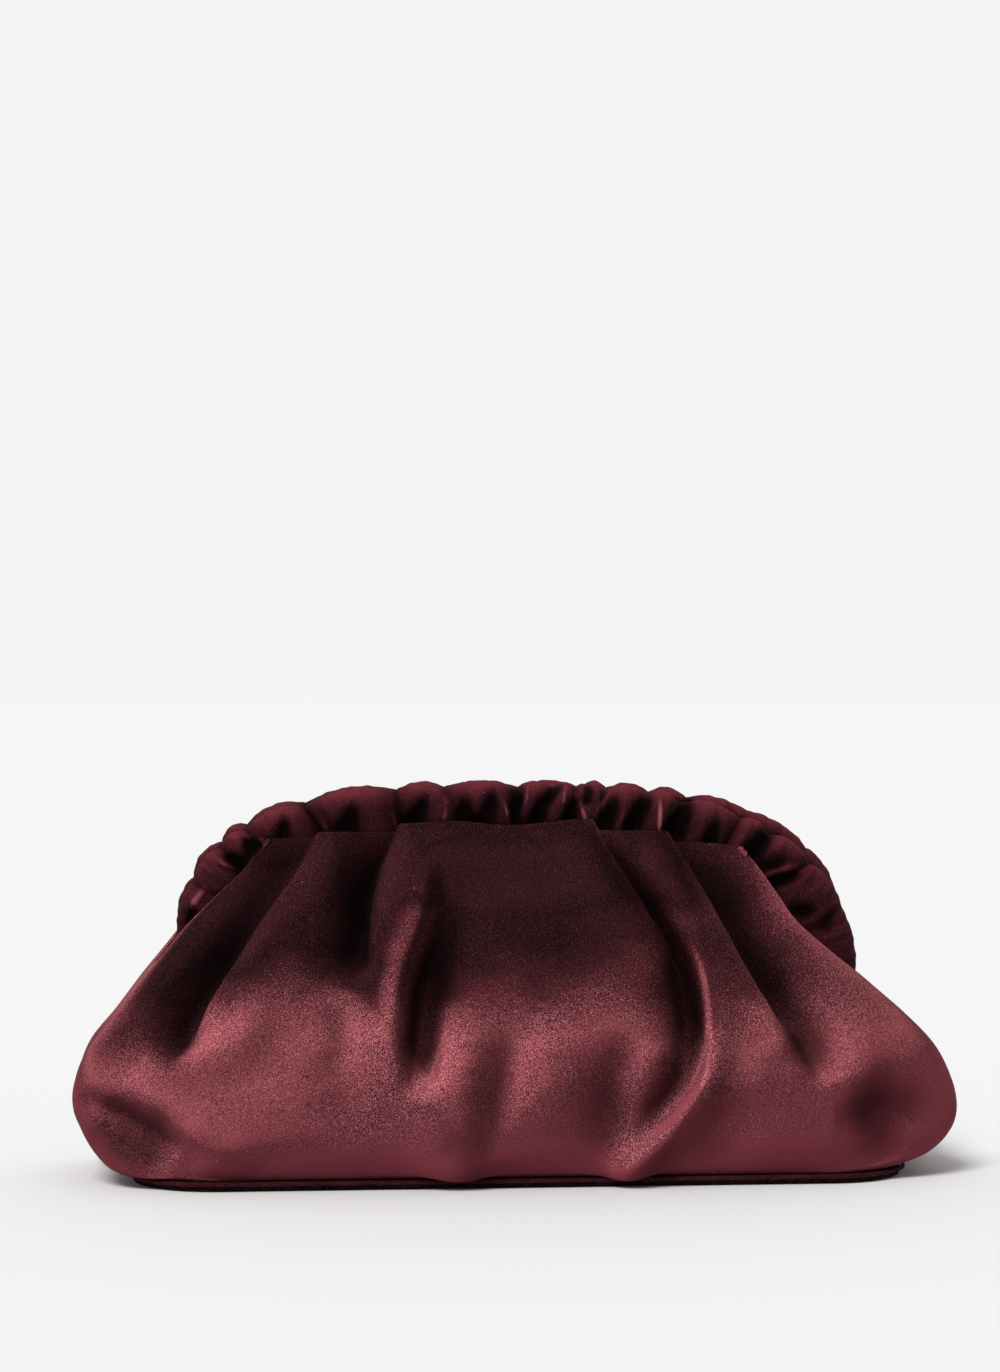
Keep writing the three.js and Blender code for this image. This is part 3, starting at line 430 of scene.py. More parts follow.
# How the folds show in the painted light. steep: how far a ridge slopes to the lit side before it
# is painted paler, and raise: how fast it gets paler. lit_glint: how much further down the belly
# the grain and painted glints of single tufts show on a lit slope. slope_side, ridge_side: places
# across between which both die away at the side's edge. slope_depth, ridge_depth: depths of a
# hollow, in mm, between which they do.
RELIEF = {
    "steep": 0.08, "raise": 1.1, "lit_glint": 0.7, "slope_side": (1.0, 0.8), "ridge_side": (1.04, 0.94),
    "slope_depth": (5, 1), "ridge_depth": (3.5, 0.5),
}
# The side from which the slopes of the small folds get painted light, and away from which they get painted
# shade: across, to the front, up
LIT_SIDE = (-0.75, 0.0, 0.66)
# How much the grain and painted glints of single tufts show. least: where the cloth faces the
# painted sheen's direction. starts, ends: leans between which they come and go.
TUFTS = {"least": 0.14, "starts": (-0.05, 0.3), "ends": (1.1, 0.35)}
# Rows by a panel's top edge that take the painted sheen and shade of the row below them
TOP_ROWS = 5
# Powers of the sleeves' arch, left and right: a higher one gives squarer shoulders
FRONT_SHOULDERS = (3.0, 2.5)
BACK_SHOULDERS = (3.2, 2.9)
# Length of the arch for its tucks, steps in which it is measured, and share of it on either side of a place
# that gives its direction
ARCH_RUN = 340 * MM
ARCH_STEPS = 1500
ARCH_PROBE = 0.008
# Room kept inside the sleeve's box for its ripples
PUFF = 0.3 * MM
# Columns along a sleeve and rows round it
SLEEVE_GRID = (760, 56)
# Rows at the sleeve's foot that do not tell which way it faces
FOOT_ROWS = 2
# How far in a sleeve may dip before its wall meets the frame's rod, in mm, on its top and on
# its front, and the depths, as shares of the sleeve's, between which one turns into the other
ROD_ROOM = dict(top=3.2, front=5.6, turn=(0.6, 0.95))
# Form of the gathers and tucks. ends: share of a gather at the hinges. round: power of the
# puff between two gathers. deepen: gathers against the table's depth. hollow, ridge: widths of
# the tucks and of the ridges against the table's. shade: share of a gather's depth that counts
# as a hollow and gets painted shade. upper, lower: shares of a crease between which it starts
# and ends.
SLEEVE_CLOTH = {
    "ends": 0.3, "round": 0.6, "deepen": 1.35, "hollow": 1.25, "ridge": 0.85, "shade": 0.45,
    "upper": (-0.15, 0.45), "lower": (1.25, 0.75),
}
# Fine ripples of a sleeve, as how many lie along it and their height in mm, and how they sway
# down the sleeve and along it: amount and rate
RIPPLES = ((41, 0.12), (67, 0.09), (113, 0.04))
RIPPLE_SWAY = dict(down=(0.4, 3.1), along=(0.3, 17))
# Section of a sleeve, from its foot over the top to its inner leg: depth from the middle
# plane as a share of the sleeve's, way down as a share of the band, share of a gather.
SLEEVE_SECTION = [
    (0.9, 1.0, 0.25), (0.975, 0.72, 0.8), (1.0, 0.46, 1.0), (0.93, 0.24, 1.0), (0.75, 0.085, 1.0),
    (0.48, 0.0, 1.0), (0.2, 0.05, 0.7), (0.0, 0.2, 0.0), (0.0, 0.5, 0.0),
]


def ease(low, high, value):
    """0 at low, 1 at high, smooth between."""
    share = np.clip((value - low) / (high - low), 0, 1)
    return share * share * (3 - 2 * share)


def mix(a, b, share):
    """From a at 0 to b at 1."""
    return a + (b - a) * share


def smooth_at(rows, place):
    """A smooth curve through the numbers in rows, read between them."""
    rows = np.asarray(rows, float)
    last = len(rows) - 1
    row = np.minimum(np.floor(place).astype(int), last - 1)
    f = place - row
    before, here = rows[np.maximum(row - 1, 0)], rows[row]
    after, beyond = rows[row + 1], rows[np.minimum(row + 2, last)]
    bend = 2 * before - 5 * here + 4 * after - beyond
    turn = 3 * here - before - 3 * after + beyond
    return 0.5 * (2 * here + (after - before) * f + bend * f * f + turn * f * f * f)


def unit(vectors):
    """The vectors with length 1."""
    return vectors / np.maximum(np.linalg.norm(vectors, axis=-1, keepdims=True), 1e-12)


class Pouch:
    """The smooth form of the pouch, before any fold."""

    def __init__(self, s):
        self.s = s
        self.seam = SLEEVE_DEPTH + s.clearance + s.cloth_wall
        self.ridge = self.seam + s.lip_depth
        bulk = [mix(HALF_FRAME, HALF_WIDTH, row["swell"]) for row in SECTIONS]
        seat = BASE_LENGTH / 2 - s.seam_inset
        self.up = [row["up"] * BAG_HEIGHT for row in SECTIONS] + [BASE_THICKNESS + s.clearance]
        self.left = [row["left"] * b for row, b in zip(SECTIONS, bulk)] + [seat]
        self.right = [row["right"] * b for row, b in zip(SECTIONS, bulk)] + [seat]
        self.front = [mix(self.seam, s.belly_depth, row["out"]) for row in SECTIONS]
        self.front.append(BASE_WIDTH / 2 - s.seam_inset)
        self.square = [row["square"] for row in SECTIONS] + [SECTIONS[-1]["square"]]
        fine = self.fine = np.linspace(0, LAST_ROW, FINE_ROWS)
        self.heights = smooth_at(self.up, fine)
        depths = smooth_at(self.front, fine)
        steps = np.hypot(np.diff(self.heights), np.diff(depths))
        self.run = np.concatenate([[0], np.cumsum(steps)])

    def row_at(self, height):
        """Row, counted in sections from the top, that lies at a height."""
        return np.interp(-height, -self.heights, self.fine)

    def rows_down(self, top_height, share):
        """Rows at an even spacing of cloth from a top height down to the base."""
        start = np.interp(self.row_at(top_height), self.fine, self.run)
        return np.interp(mix(start, self.run[-1], share), self.run, self.fine)

    def half(self, side, row):
        """Half width on the left, for a side below 0, or on the right."""
        return np.where(side < 0, smooth_at(self.left, row), smooth_at(self.right, row))

    def point(self, turn, row, top_height):
        """Place on the form: turn is 0 in the middle, 1 at the side's edge and more past it."""
        s = self.s
        height = smooth_at(self.up, row)
        half = self.half(turn, row)
        front = smooth_at(self.front, row)
        square = smooth_at(self.square, row)
        seat = ease(LAST_ROW - SEAT_ROWS, LAST_ROW, row)
        ridge = mix(self.ridge, BASE_WIDTH / 2 - s.base_corner, seat)
        angle = np.minimum(np.abs(turn), 1) * math.pi / 2
        x = half * np.sin(angle) ** (2 / square)
        rounded = ridge + (front - ridge) * np.maximum(np.cos(angle), 0) ** (2 / square)
        corner = s.base_corner - s.seam_inset
        past = np.clip(x - (half - corner), 0, corner)
        seated = front - corner + np.sqrt(corner ** 2 - past ** 2)
        sunk = 1 - np.clip((top_height - height) / SETTLE_HEIGHT, 0, 1)
        depth = mix(self.seam + (rounded - self.seam) * (1 - sunk * sunk), seated, seat)
        bend = np.clip((np.abs(turn) - 1) / SIDE_SPAN, 0, 1) * math.pi / 2
        wraps = []
        puckers = []
        for side in ("left", "right"):
            high, low = (share * BAG_HEIGHT for share in WRAP[side])
            wraps.append(ease(high, low, height))
            puckers.append(ease(low, low - PUCKER_FADE, height))
        wrap = np.where(turn < 0, *wraps)
        pucker = s.seam_pucker * (1 - seat) * np.where(turn < 0, *puckers)
        end_x = half - mix(s.lip_depth * LIP_ROLL["across"], pucker, wrap)
        end_depth = mix(ridge - s.lip_depth * LIP_ROLL["back"], s.clearance / 2, wrap)
        round_x = end_x + (half - end_x) * np.cos(bend)
        round_depth = depth - (ridge - end_depth) * np.sin(bend)
        tail = np.abs(turn) > 1
        x = np.where(tail, round_x, x)
        depth = np.where(tail, round_depth, depth)
        return np.stack([np.sign(turn) * x, -depth, height], axis=-1)

    def directions(self, turn, row, top_height):
        """Outward, and across to the right, at each place."""
        place = np.clip(turn, -1, 1)
        left = self.point(np.maximum(place - PROBE, -1), row, top_height)
        right = self.point(np.minimum(place + PROBE, 1), row, top_height)
        above = self.point(place, np.maximum(row - PROBE, 0), top_height)
        below = self.point(place, np.minimum(row + PROBE, LAST_ROW), top_height)
        across = unit(right - left)
        return unit(np.cross(across, above - below)), across


def pleat_x(pleat, height, half):
    """Where a pleat's crest lies at a height."""
    ups = np.array(pleat["up"])[::-1]
    place = len(ups) - 1 - np.interp(height / BAG_HEIGHT, ups, np.arange(len(ups)))
    return pleat["side"] * half * smooth_at(pleat["across"], place)


def near_path(path, x, z, fine):
    """Distance from a smooth path, below 0 on its left, and the place along it."""
    places = np.linspace(0, len(path) - 1, fine)
    px = smooth_at([p[0] for p in path], places) * MM
    pz = smooth_at([p[1] for p in path], places) * MM
    best = np.full(x.shape, np.inf)
    signed = np.zeros(x.shape)
    along = np.zeros(x.shape)
    for i in range(fine - 1):
        dx, dz = px[i + 1] - px[i], pz[i + 1] - pz[i]
        share = np.clip(((x - px[i]) * dx + (z - pz[i]) * dz) / (dx * dx + dz * dz), 0, 1)
        off_x, off_z = x - px[i] - share * dx, z - pz[i] - share * dz
        far = np.hypot(off_x, off_z)
        nearer = far < best
        best = np.where(nearer, far, best)
        signed = np.where(nearer, far * np.sign(dx * off_z - dz * off_x), signed)
        along = np.where(nearer, places[i] + share * (places[i + 1] - places[i]), along)
    return signed, along


def eased_grid(values):
    """Each value averaged with its neighbours down and across the grid."""
    for axis in (0, 1):
        padded = np.pad(values, [(1, 1) if a == axis else (0, 0) for a in (0, 1)], mode="edge")
        ahead, behind = (padded[2:], padded[:-2]) if axis == 0 else (padded[:, 2:], padded[:, :-2])
        values = values / 2 + (ahead + behind) / 4
    return values


def fold_rise(fold, x, z):
    """Rise of a soft fold at each place of the front view."""
    path = fold["path"]
    signed, along = near_path(path, x, z, PATH_STEPS * len(path))
    off = np.abs(signed) / (np.where(signed > 0, fold["right"], fold["left"]) * MM)
    rise = np.interp(along, np.arange(len(path)), [p[2] for p in path]) * MM
    crisp = fold["crisp"] * np.exp(-off)
    return rise * mix(np.exp(-off * off), np.exp(-CRISP_FALL * off), crisp)


def velvet_uv(bm, flat):
    """Stretches the grid's own UVs to the cloth's real size, in metres."""
    layer = bm.loops.layers.uv.verify()
    for face in bm.faces:
        for loop in face.loops:
            loop[layer].uv = (loop[layer].uv.x * flat[0], loop[layer].uv.y * flat[1])


def put(name, data):
    """Puts a new object into the scene."""
    made = bpy.data.objects.new(name, data)
    bpy.context.scene.collection.objects.link(made)
    return made


def object_of(name, bm):
    """An object from a bmesh, which is freed."""
    mesh = bpy.data.meshes.new(name)
    bm.to_mesh(mesh)
    bm.free()
    return put(name, mesh)


def grid_piece(name, columns, rows, place, flip, flat):
    """A piece from a bmesh grid whose points are moved to the places that a function gives."""
    bm = bmesh.new()
    bmesh.ops.create_grid(bm, x_segments=columns - 1, y_segments=rows - 1, size=0.5, calc_uvs=True)
    bm.verts.ensure_lookup_table()
    flat_places = np.array([vert.co[:2] for vert in bm.verts]) + 0.5
    i = np.rint((1 - flat_places[:, 1]) * (rows - 1)).astype(int)
    j = np.rint(flat_places[:, 0] * (columns - 1)).astype(int)
    points, marks = place()
    for vert, point in zip(bm.verts, points[i, j]):
        vert.co = point
    for key, values in marks.items():
        layer = bm.verts.layers.float.new(key)
        for vert, value in zip(bm.verts, values[i, j]):
            vert[layer] = value
    velvet_uv(bm, flat)
    if flip:
        bmesh.ops.reverse_faces(bm, faces=bm.faces)
    for face in bm.faces:
        face.smooth = True
    return object_of(name, bm)


def thicken(piece, wall):
    """Gives a sheet its wall, inwards."""
    solidify = piece.modifiers.new("Wall", "SOLIDIFY")
    solidify.thickness = wall
    solidify.offset = -1
    solidify.use_even_offset = False
    solidify.use_rim = True


def finish(piece, material):
    """Gives a piece its one material."""
    piece.data.materials.clear()
    piece.data.materials.append(material)


def dress(piece, material):
    """Finishes a piece and ties it to the bag's one body."""
    finish(piece, material)
    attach(piece, "root")


def panel_columns(pouch, pleats):
    """The lines that a panel's columns keep to, each a function from rows to turns, and for
    every column the line on its left, its share of the way to the next one and its turn past
    the side's edge."""
    def on_pleat(pleat, offset):
        def turns(row):
            half = pouch.half(pleat["side"], row)
            x = pleat_x(pleat, smooth_at(pouch.up, row), half) + pleat["side"] * offset * MM
            share = np.clip(np.abs(x) / half, 0, 1)
            return pleat["side"] * np.arcsin(share ** (smooth_at(pouch.square, row) / 2)) * 2 / math.pi
        return turns

    left_outer, left_inner, right_inner, right_outer = pleats
    crest_left, crest_right = on_pleat(left_inner, 0), on_pleat(right_inner, 0)
    stations = [
        lambda row: -np.ones_like(row),
        on_pleat(left_outer, left_outer["step"]),
        on_pleat(left_outer, 0),
        on_pleat(left_inner, left_inner["step"]),
        crest_left,
        lambda row: mix(crest_left(row), crest_right(row), MIDDLE_LINES[0]),
        lambda row: mix(crest_left(row), crest_right(row), MIDDLE_LINES[1]),
        crest_right,
        on_pleat(right_inner, right_inner["step"]),
        on_pleat(right_outer, 0),
        on_pleat(right_outer, right_outer["step"]),
        lambda row: np.ones_like(row),
    ]
    columns = []
    for k in range(SIDE_COLUMNS, 0, -1):
        columns.append((0, 0.0, -k / SIDE_COLUMNS * SIDE_SPAN))
    for i, count in enumerate(PANEL_FILLS):
        columns += [(i, k / count, 0.0) for k in range(count)]
    last = len(PANEL_FILLS) - 1
    columns += [(last, 1.0, k / SIDE_COLUMNS * SIDE_SPAN) for k in range(SIDE_COLUMNS + 1)]
    return stations, columns


def panel_points(s, pleats, folds, tops, sags, facing):
    """Places of a pleated panel, rows from the sleeve to the base, with what its pile does."""
    pouch = Pouch(s)
    stations, columns = panel_columns(pouch, pleats)
    down = np.linspace(0, 1, PANEL_ROWS)
    turn = np.zeros((PANEL_ROWS, len(columns)))
    row = np.zeros_like(turn)
    top = np.zeros_like(turn)
    for j, (i, share, tail) in enumerate(columns):
        height = mix(tops[i], tops[i + 1], ease(0, 1, share)) * BAG_HEIGHT
        top[:, j] = height
        row[:, j] = pouch.rows_down(height, down)
        turn[:, j] = mix(stations[i](row[:, j]), stations[i + 1](row[:, j]), share) + tail
    smooth = pouch.point(turn, row, top)
    outward, across = pouch.directions(turn, row, top)
    x, z = smooth[..., 0], smooth[..., 2]
    side_turn = np.abs(turn)
    opened, unfolded = (mix(least, 1.0, ease(0, depth * MM, top - z))
                        for least, depth in (DRAPE["pleat_top"], DRAPE["fold_top"]))
    rise = np.zeros_like(x)
    slide = np.zeros_like(x)
    for pleat in pleats:
        side = pleat["side"]
        half = pouch.half(side, row)
        out = side * (x - pleat_x(pleat, z, half)) / MM
        fade = ease(pleat["fade"][1] * BAG_HEIGHT, pleat["fade"][0] * BAG_HEIGHT, z)
        slope = np.where(out > 0, ease(pleat["step"], 0, out), ease(-pleat["reach"], 0, out))
        rise += pleat["rise"] * s.pleat_rise * fade * slope * opened
        reach = DRAPE["lap_reach"] * pleat["step"]
        bump = np.where(out > 0, ease(pleat["step"], 0, out), ease(-reach, 0, out))
        slide += side * pleat["lap"] * MM * fade * bump
    soft = sum(fold_rise(fold, x, z) for fold in folds)
    for _ in range(DRAPE["softening"]):
        soft = eased_grid(soft)
    # Depth in the folds, which the material darkens as painted shade; a pleat's crest is painted lighter.
    hollow = -soft - DRAPE["pleat_hollow"] * rise
    rise += soft * unfolded
    calm = ease(LAST_ROW, LAST_ROW - SEAT_ROWS, row)
    free = ease(FREE_SIDE[0] * MM, FREE_SIDE[1] * MM, z)
    flat_side = ease(1, DRAPE["flat_side"], side_turn)
    rise *= calm * mix(ease(1 + SIDE_SPAN, 1, side_turn), flat_side, free)
    slide *= calm * ease(1, DRAPE["lap_side"], side_turn)
    sag_top, sag_foot = DRAPE["sag"]
    for place, width, drop in sags:
        lump = np.exp(-((x / MM - place) / width) ** 2) * drop * MM
        smooth[..., 2] -= lump * ease(sag_top * MM, sag_foot * MM, z) * calm
    roll_depth, roll = DRAPE["rolled"]
    rolled = ease(roll_depth * MM, 0, top - z) * roll * MM
    points = smooth + outward * (rise - rolled)[..., None] + across * slide[..., None]
    points[..., 1] = np.minimum(points[..., 1], -s.clearance / 2)
    points[..., 2] = np.maximum(points[..., 2], lowest(s, points[..., 0], points[..., 1]))
    marks = pile_marks(points, outward, smooth, soft, hollow, folds, side_turn)
    points[..., 1] *= facing
    return points, marks


def pile_marks(points, outward, smooth, soft, hollow, folds, side_turn):
    """What the material reads at each place of a panel. hollow: depth in a fold, in mm, which gets
    painted shade. Lean: angle between the cloth and the painted sheen's direction, in radians,
    which sets the painted sheen and shade. slope: how far the place slopes to the lit side, which
    is painted lighter, and darker on the other side. Grain and glints: how much the grain and
    painted glints of single tufts show."""
    x, z = smooth[..., 0], smooth[..., 2]
    sheen_lean = painted_sheen_lean(points, outward)
    slope = slope_of(smooth + outward * soft[..., None], outward)
    ridges = sum(fold_rise(fold, x, z) for fold in folds if max(p[2] for p in fold["path"]) > 0)
    steep = slope_of(smooth + outward * ridges[..., None], outward)
    last = sheen_lean.shape[1] - 1 - SIDE_COLUMNS
    sheen_lean = sheen_lean[:, np.clip(np.arange(sheen_lean.shape[1]), SIDE_COLUMNS, last)]
    sheen_lean[:TOP_ROWS] = sheen_lean[TOP_ROWS]
    slope *= ease(*RELIEF["slope_side"], side_turn)
    steep *= ease(*RELIEF["ridge_side"], side_turn) * ease(*RELIEF["ridge_depth"], hollow / MM)
    shallow = ease(*RELIEF["slope_depth"], hollow / MM)
    slope = np.where(slope > 0, slope * shallow, slope)
    # Ridges that slope to the lit side get a painted highlight, and on lit slopes the painted glints of the
    # tufts reach further down.
    lifted = sheen_lean + RELIEF["raise"] * np.maximum(steep - RELIEF["steep"], 0)
    lit_slope_lean = sheen_lean - RELIEF["lit_glint"] * np.maximum(slope, 0)
    grain_and_glints = np.maximum(grain_and_glints_of(lifted), grain_and_glints_of(lit_slope_lean))
    return dict(hollow=hollow / MM, sheen_lean=lifted, slope=slope, grain_and_glints=grain_and_glints)


def lowest(s, x, y):
    """How low the cloth may hang: on the base, or just off the floor beyond its edge."""
    far_x = np.maximum(np.abs(x) - (BASE_LENGTH / 2 - s.base_corner), 0)
    far_y = np.maximum(np.abs(y) - (BASE_WIDTH / 2 - s.base_corner), 0)
    beyond = np.hypot(far_x, far_y) - s.base_corner
    over = ease(*(past * MM for past in BASE_OVERHANG), beyond)
    return mix(BASE_THICKNESS + s.clearance, 2 * s.clearance, over)


def facing_of(points, guide):
    """Unit directions square to a grid of points, on the side that a guide points to."""
    away = np.cross(np.gradient(points, axis=1), np.gradient(points, axis=0))
    away = unit(away) * np.sign((away * guide).sum(axis=-1, keepdims=True))
    return unit(np.stack([eased_grid(eased_grid(away[..., k])) for k in range(3)], axis=-1))


def painted_sheen_lean(points, outward):
    """Angle between the cloth and the direction of the painted sheen, in radians, which sets the
    painted sheen and shade. That direction follows the bag's form more than its small folds."""
    x, z = points[..., 0], points[..., 2]
    way = unit(mix(outward, facing_of(points, outward), PAINTED_SHEEN["folds"]))
    across = PAINTED_SHEEN["across"] + PAINTED_SHEEN["fan"] * x
    sheen_way = unit(np.stack([across, np.full_like(x, -1), np.full_like(x, PAINTED_SHEEN["up"])], axis=-1))
    angle = np.arccos(np.clip((way * sheen_way).sum(axis=-1), -1, 1)) + PAINTED_SHEEN["turn"] * x
    band = np.interp(x / MM, *zip(*PAINTED_SHEEN["band"]))
    return angle - PAINTED_SHEEN["lift"] * ease(-PAINTED_SHEEN["soft"], PAINTED_SHEEN["soft"], z / MM - band)


def slope_of(relief, outward):
    """How far each place of a relief slopes to the lit side, against the smooth form."""
    return (facing_of(relief, outward) - outward) @ np.array(LIT_SIDE)


def grain_and_glints_of(sheen_lean):
    """How much the grain and painted glints of single tufts show: most where the cloth starts to turn from
    the painted sheen's direction.
    """
    return mix(TUFTS["least"], 1.0, ease(*TUFTS["starts"], sheen_lean)) * ease(*TUFTS["ends"], sheen_lean)


def arch(shoulders, shares):
    """Places and outward directions at shares of the arch's length, left hinge to right."""
    angle = math.pi * (1 - np.arange(ARCH_STEPS + 1) / ARCH_STEPS)
    power = np.where(np.cos(angle) < 0, *shoulders)
    rise = BAG_HEIGHT - HINGE_HEIGHT - PUFF
    x = (HALF_FRAME - PUFF) * np.sign(np.cos(angle)) * np.abs(np.cos(angle)) ** (2 / power)
    z = HINGE_HEIGHT + rise * np.abs(np.sin(angle)) ** (2 / power)
    run = np.concatenate([[0], np.cumsum(np.hypot(np.diff(x), np.diff(z)))])
    run /= run[-1]
    px, pz = np.interp(shares, run, x), np.interp(shares, run, z)
    after, before = shares + ARCH_PROBE, shares - ARCH_PROBE
    ahead_x = np.interp(after, run, x) - np.interp(before, run, x)
    ahead_z = np.interp(after, run, z) - np.interp(before, run, z)
    length = np.hypot(ahead_x, ahead_z)
    return px, pz, -ahead_z / length, ahead_x / length


def sleeve_points(s, gathers, tucks, shoulders, facing, seed):
    """Places of a gathered sleeve, rows from its foot over the top, with the depth of its tucks and
    gathers, which the material darkens as painted shade and lightens on the crests as a painted highlight.
    """
    columns, rows = SLEEVE_GRID
    cloth = SLEEVE_CLOTH
    along = np.linspace(0, 1, columns)
    places = np.linspace(0, len(SLEEVE_SECTION) - 1, rows)
    deep, down, share = (smooth_at([p[k] for p in SLEEVE_SECTION], places) for k in range(3))
    deep = np.maximum(deep, s.clearance / 2 / SLEEVE_DEPTH)
    down = np.maximum(down, 0)
    level = np.clip(down, 0, 1)
    foot = np.array([0, *[g[0] for g in gathers], 1])
    top = np.array([0, *[g[1] for g in gathers], 1])
    depth = np.array([cloth["ends"], *[g[2] for g in gathers], cloth["ends"]]) * cloth["deepen"]
    band = np.interp(along, top, [1.0, *[g[3] for g in gathers], 1.0])
    dip = np.zeros((rows, columns))
    for r in range(rows):
        valleys = mix(top, foot, level[r])
        cell = np.clip(np.searchsorted(valleys, along, side="right") - 1, 0, len(valleys) - 2)
        f = (along - valleys[cell]) / (valleys[cell + 1] - valleys[cell])
        puff = (4 * f * (1 - f)).clip(0, 1) ** cloth["round"]
        dip[r] = s.gather_depth * mix(depth[cell], depth[cell + 1], f) * (1 - puff)
        for k, (count, size) in enumerate(RIPPLES):
            (sway_down, rate_down), (sway_along, rate_along) = RIPPLE_SWAY.values()
            sway = sway_down * np.sin(rate_down * level[r] + seed + 2 * k)
            sway = sway + sway_along * np.sin(rate_along * along + seed * k)
            dip[r] += size * MM * np.sin(2 * math.pi * (count * along + sway) + seed * (k + 1))
    reach = down[:, None] * s.sleeve_band * band[None, :]
    shares = np.broadcast_to(along, dip.shape)
    px, pz, nx, nz = arch(shoulders, shares)
    points = np.stack([px - nx * reach, np.broadcast_to(-deep[:, None] * SLEEVE_DEPTH, dip.shape),
                       pz - nz * reach], axis=-1)
    flat_down = np.broadcast_to(down[:, None], dip.shape)
    # The material paints shade in the gathers and tucks by this depth, and a highlight on the ridges where
    # it is below 0.
    hollow = cloth["shade"] * np.maximum(dip, 0)
    for top_along, top_down, low_along, low_down, top_width, low_width, rise in tucks:
        spread = cloth["hollow" if rise < 0 else "ridge"] * MM
        start = np.array([top_along * ARCH_RUN, top_down * s.sleeve_band])
        span = np.array([low_along * ARCH_RUN, low_down * s.sleeve_band]) - start
        off_x = shares * ARCH_RUN - start[0]
        off_y = flat_down * s.sleeve_band - start[1]
        f = (off_x * span[0] + off_y * span[1]) / (span @ span)
        held = np.clip(f, 0, 1)
        across = np.hypot(off_x - held * span[0], off_y - held * span[1])
        across /= mix(top_width, low_width, held) * spread
        ends = ease(*cloth["upper"], f) * ease(*cloth["lower"], f)
        shown = rise * MM * np.exp(-across * across) * ends
        dip -= shown
        hollow -= shown
    room = mix(ROD_ROOM["top"], ROD_ROOM["front"], ease(*ROD_ROOM["turn"], deep))[:, None] * MM
    dip = np.where(dip > 0, room * np.tanh(dip / room), dip)
    around = np.gradient(points, axis=0)
    ahead = np.gradient(points, axis=1)
    away = unit(np.cross(ahead, around))
    face = slice(FOOT_ROWS, rows // 2)
    outwards = np.sign((away[face] * np.stack([nx, -np.ones_like(nx), nz], -1)[face]).sum())
    points = points - away * outwards * (dip * share[:, None])[..., None]
    points[..., 1] = np.clip(points[..., 1], -SLEEVE_DEPTH, -s.clearance / 2)
    points[..., 1] *= facing
    return points, dict(hollow=hollow / MM)


# Patterns of the velvet's tufts, as size in mm, detail and roughness. Tufts of such a pile are
# usually 0.1 to 0.2 mm wide, and are drawn at about 0.36 mm, because finer ones don't show.
TUFT = (0.3571, 2.5, 0.75)
PRESSED_TUFT = (0.3846, 1.0, 0.5)
# Lint: the spacing of the places where it may lie, its half width there, and share that has any
LINT_SPACING = 4.35
LINT_SIZE = 0.1566
LINT_SHARE = 0.16
# Drawing lines of the steel and fibres of the paper, in mm, drawn as coarse as they can show
POLISH = 1.111
FIBRE = 1.25
# Settings of nodes
TIMES = {"operation": "MULTIPLY"}
ADD_TIMES = {"operation": "MULTIPLY_ADD"}
BELOW = {"operation": "LESS_THAN"}
COLOURS = {"data_type": "RGBA"}


def linear(hex_colour):
    """An sRGB hex colour as linear RGBA."""
    values = [int(hex_colour[i:i + 2], 16) / 255 for i in (1, 3, 5)]
    return (*[v / 12.92 if v <= 0.04045 else ((v + 0.055) / 1.055) ** 2.4 for v in values], 1)


def pattern(size):
    """Scale of a pattern on Object coordinates whose grains are so large in mm."""
    return round(1 / (size * MM))


def node(tree, kind, settings=None, out=0, stops=(), **inputs):
    """Adds a node with its settings and gives one of its outputs. An input that is a socket is
    linked, any other is a value, and i0 stands for the first input. Stops fill a colour ramp,
    each a place with an sRGB hex colour or a grey."""
    made = tree.nodes.new("ShaderNode" + kind)
    for key, value in (settings or {}).items():
        setattr(made, key, value)
    for key, value in inputs.items():
        by_number = key[0] == "i" and key[1:].isdigit()
        socket = made.inputs[int(key[1:]) if by_number else key.replace("_", " ")]
        if isinstance(value, bpy.types.NodeSocket):
            tree.links.new(value, socket)
        else:
            socket.default_value = value
    if stops:
        elements = made.color_ramp.elements
        while len(elements) < len(stops):
            elements.new(0.5)
        for element, (place, colour) in zip(elements, stops):
            element.position = place
            element.color = linear(colour) if isinstance(colour, str) else (*[colour] * 3, 1)
    return made.outputs[out] if len(made.outputs) else None


def new_material(name):
    """An empty material and its node tree."""
    material = bpy.data.materials.new(name)
    material.use_nodes = True
    tree = material.node_tree
    tree.nodes.clear()
    return material, tree


def velvet_ground(name, patch, tuft):
    """A velvet material with its coordinates, its patches and its tufts. Each of the two
    patterns is given as its size in mm, its detail and its roughness."""
    material, tree = new_material(name)
    coords = node(tree, "TexCoord", out="Object")
    patches, tufts = (
        node(tree, "TexNoise", Vector=coords, Scale=pattern(size), Detail=detail, Roughness=rough)
        for size, detail, rough in (patch, tuft))
    return material, tree, coords, patches, tufts


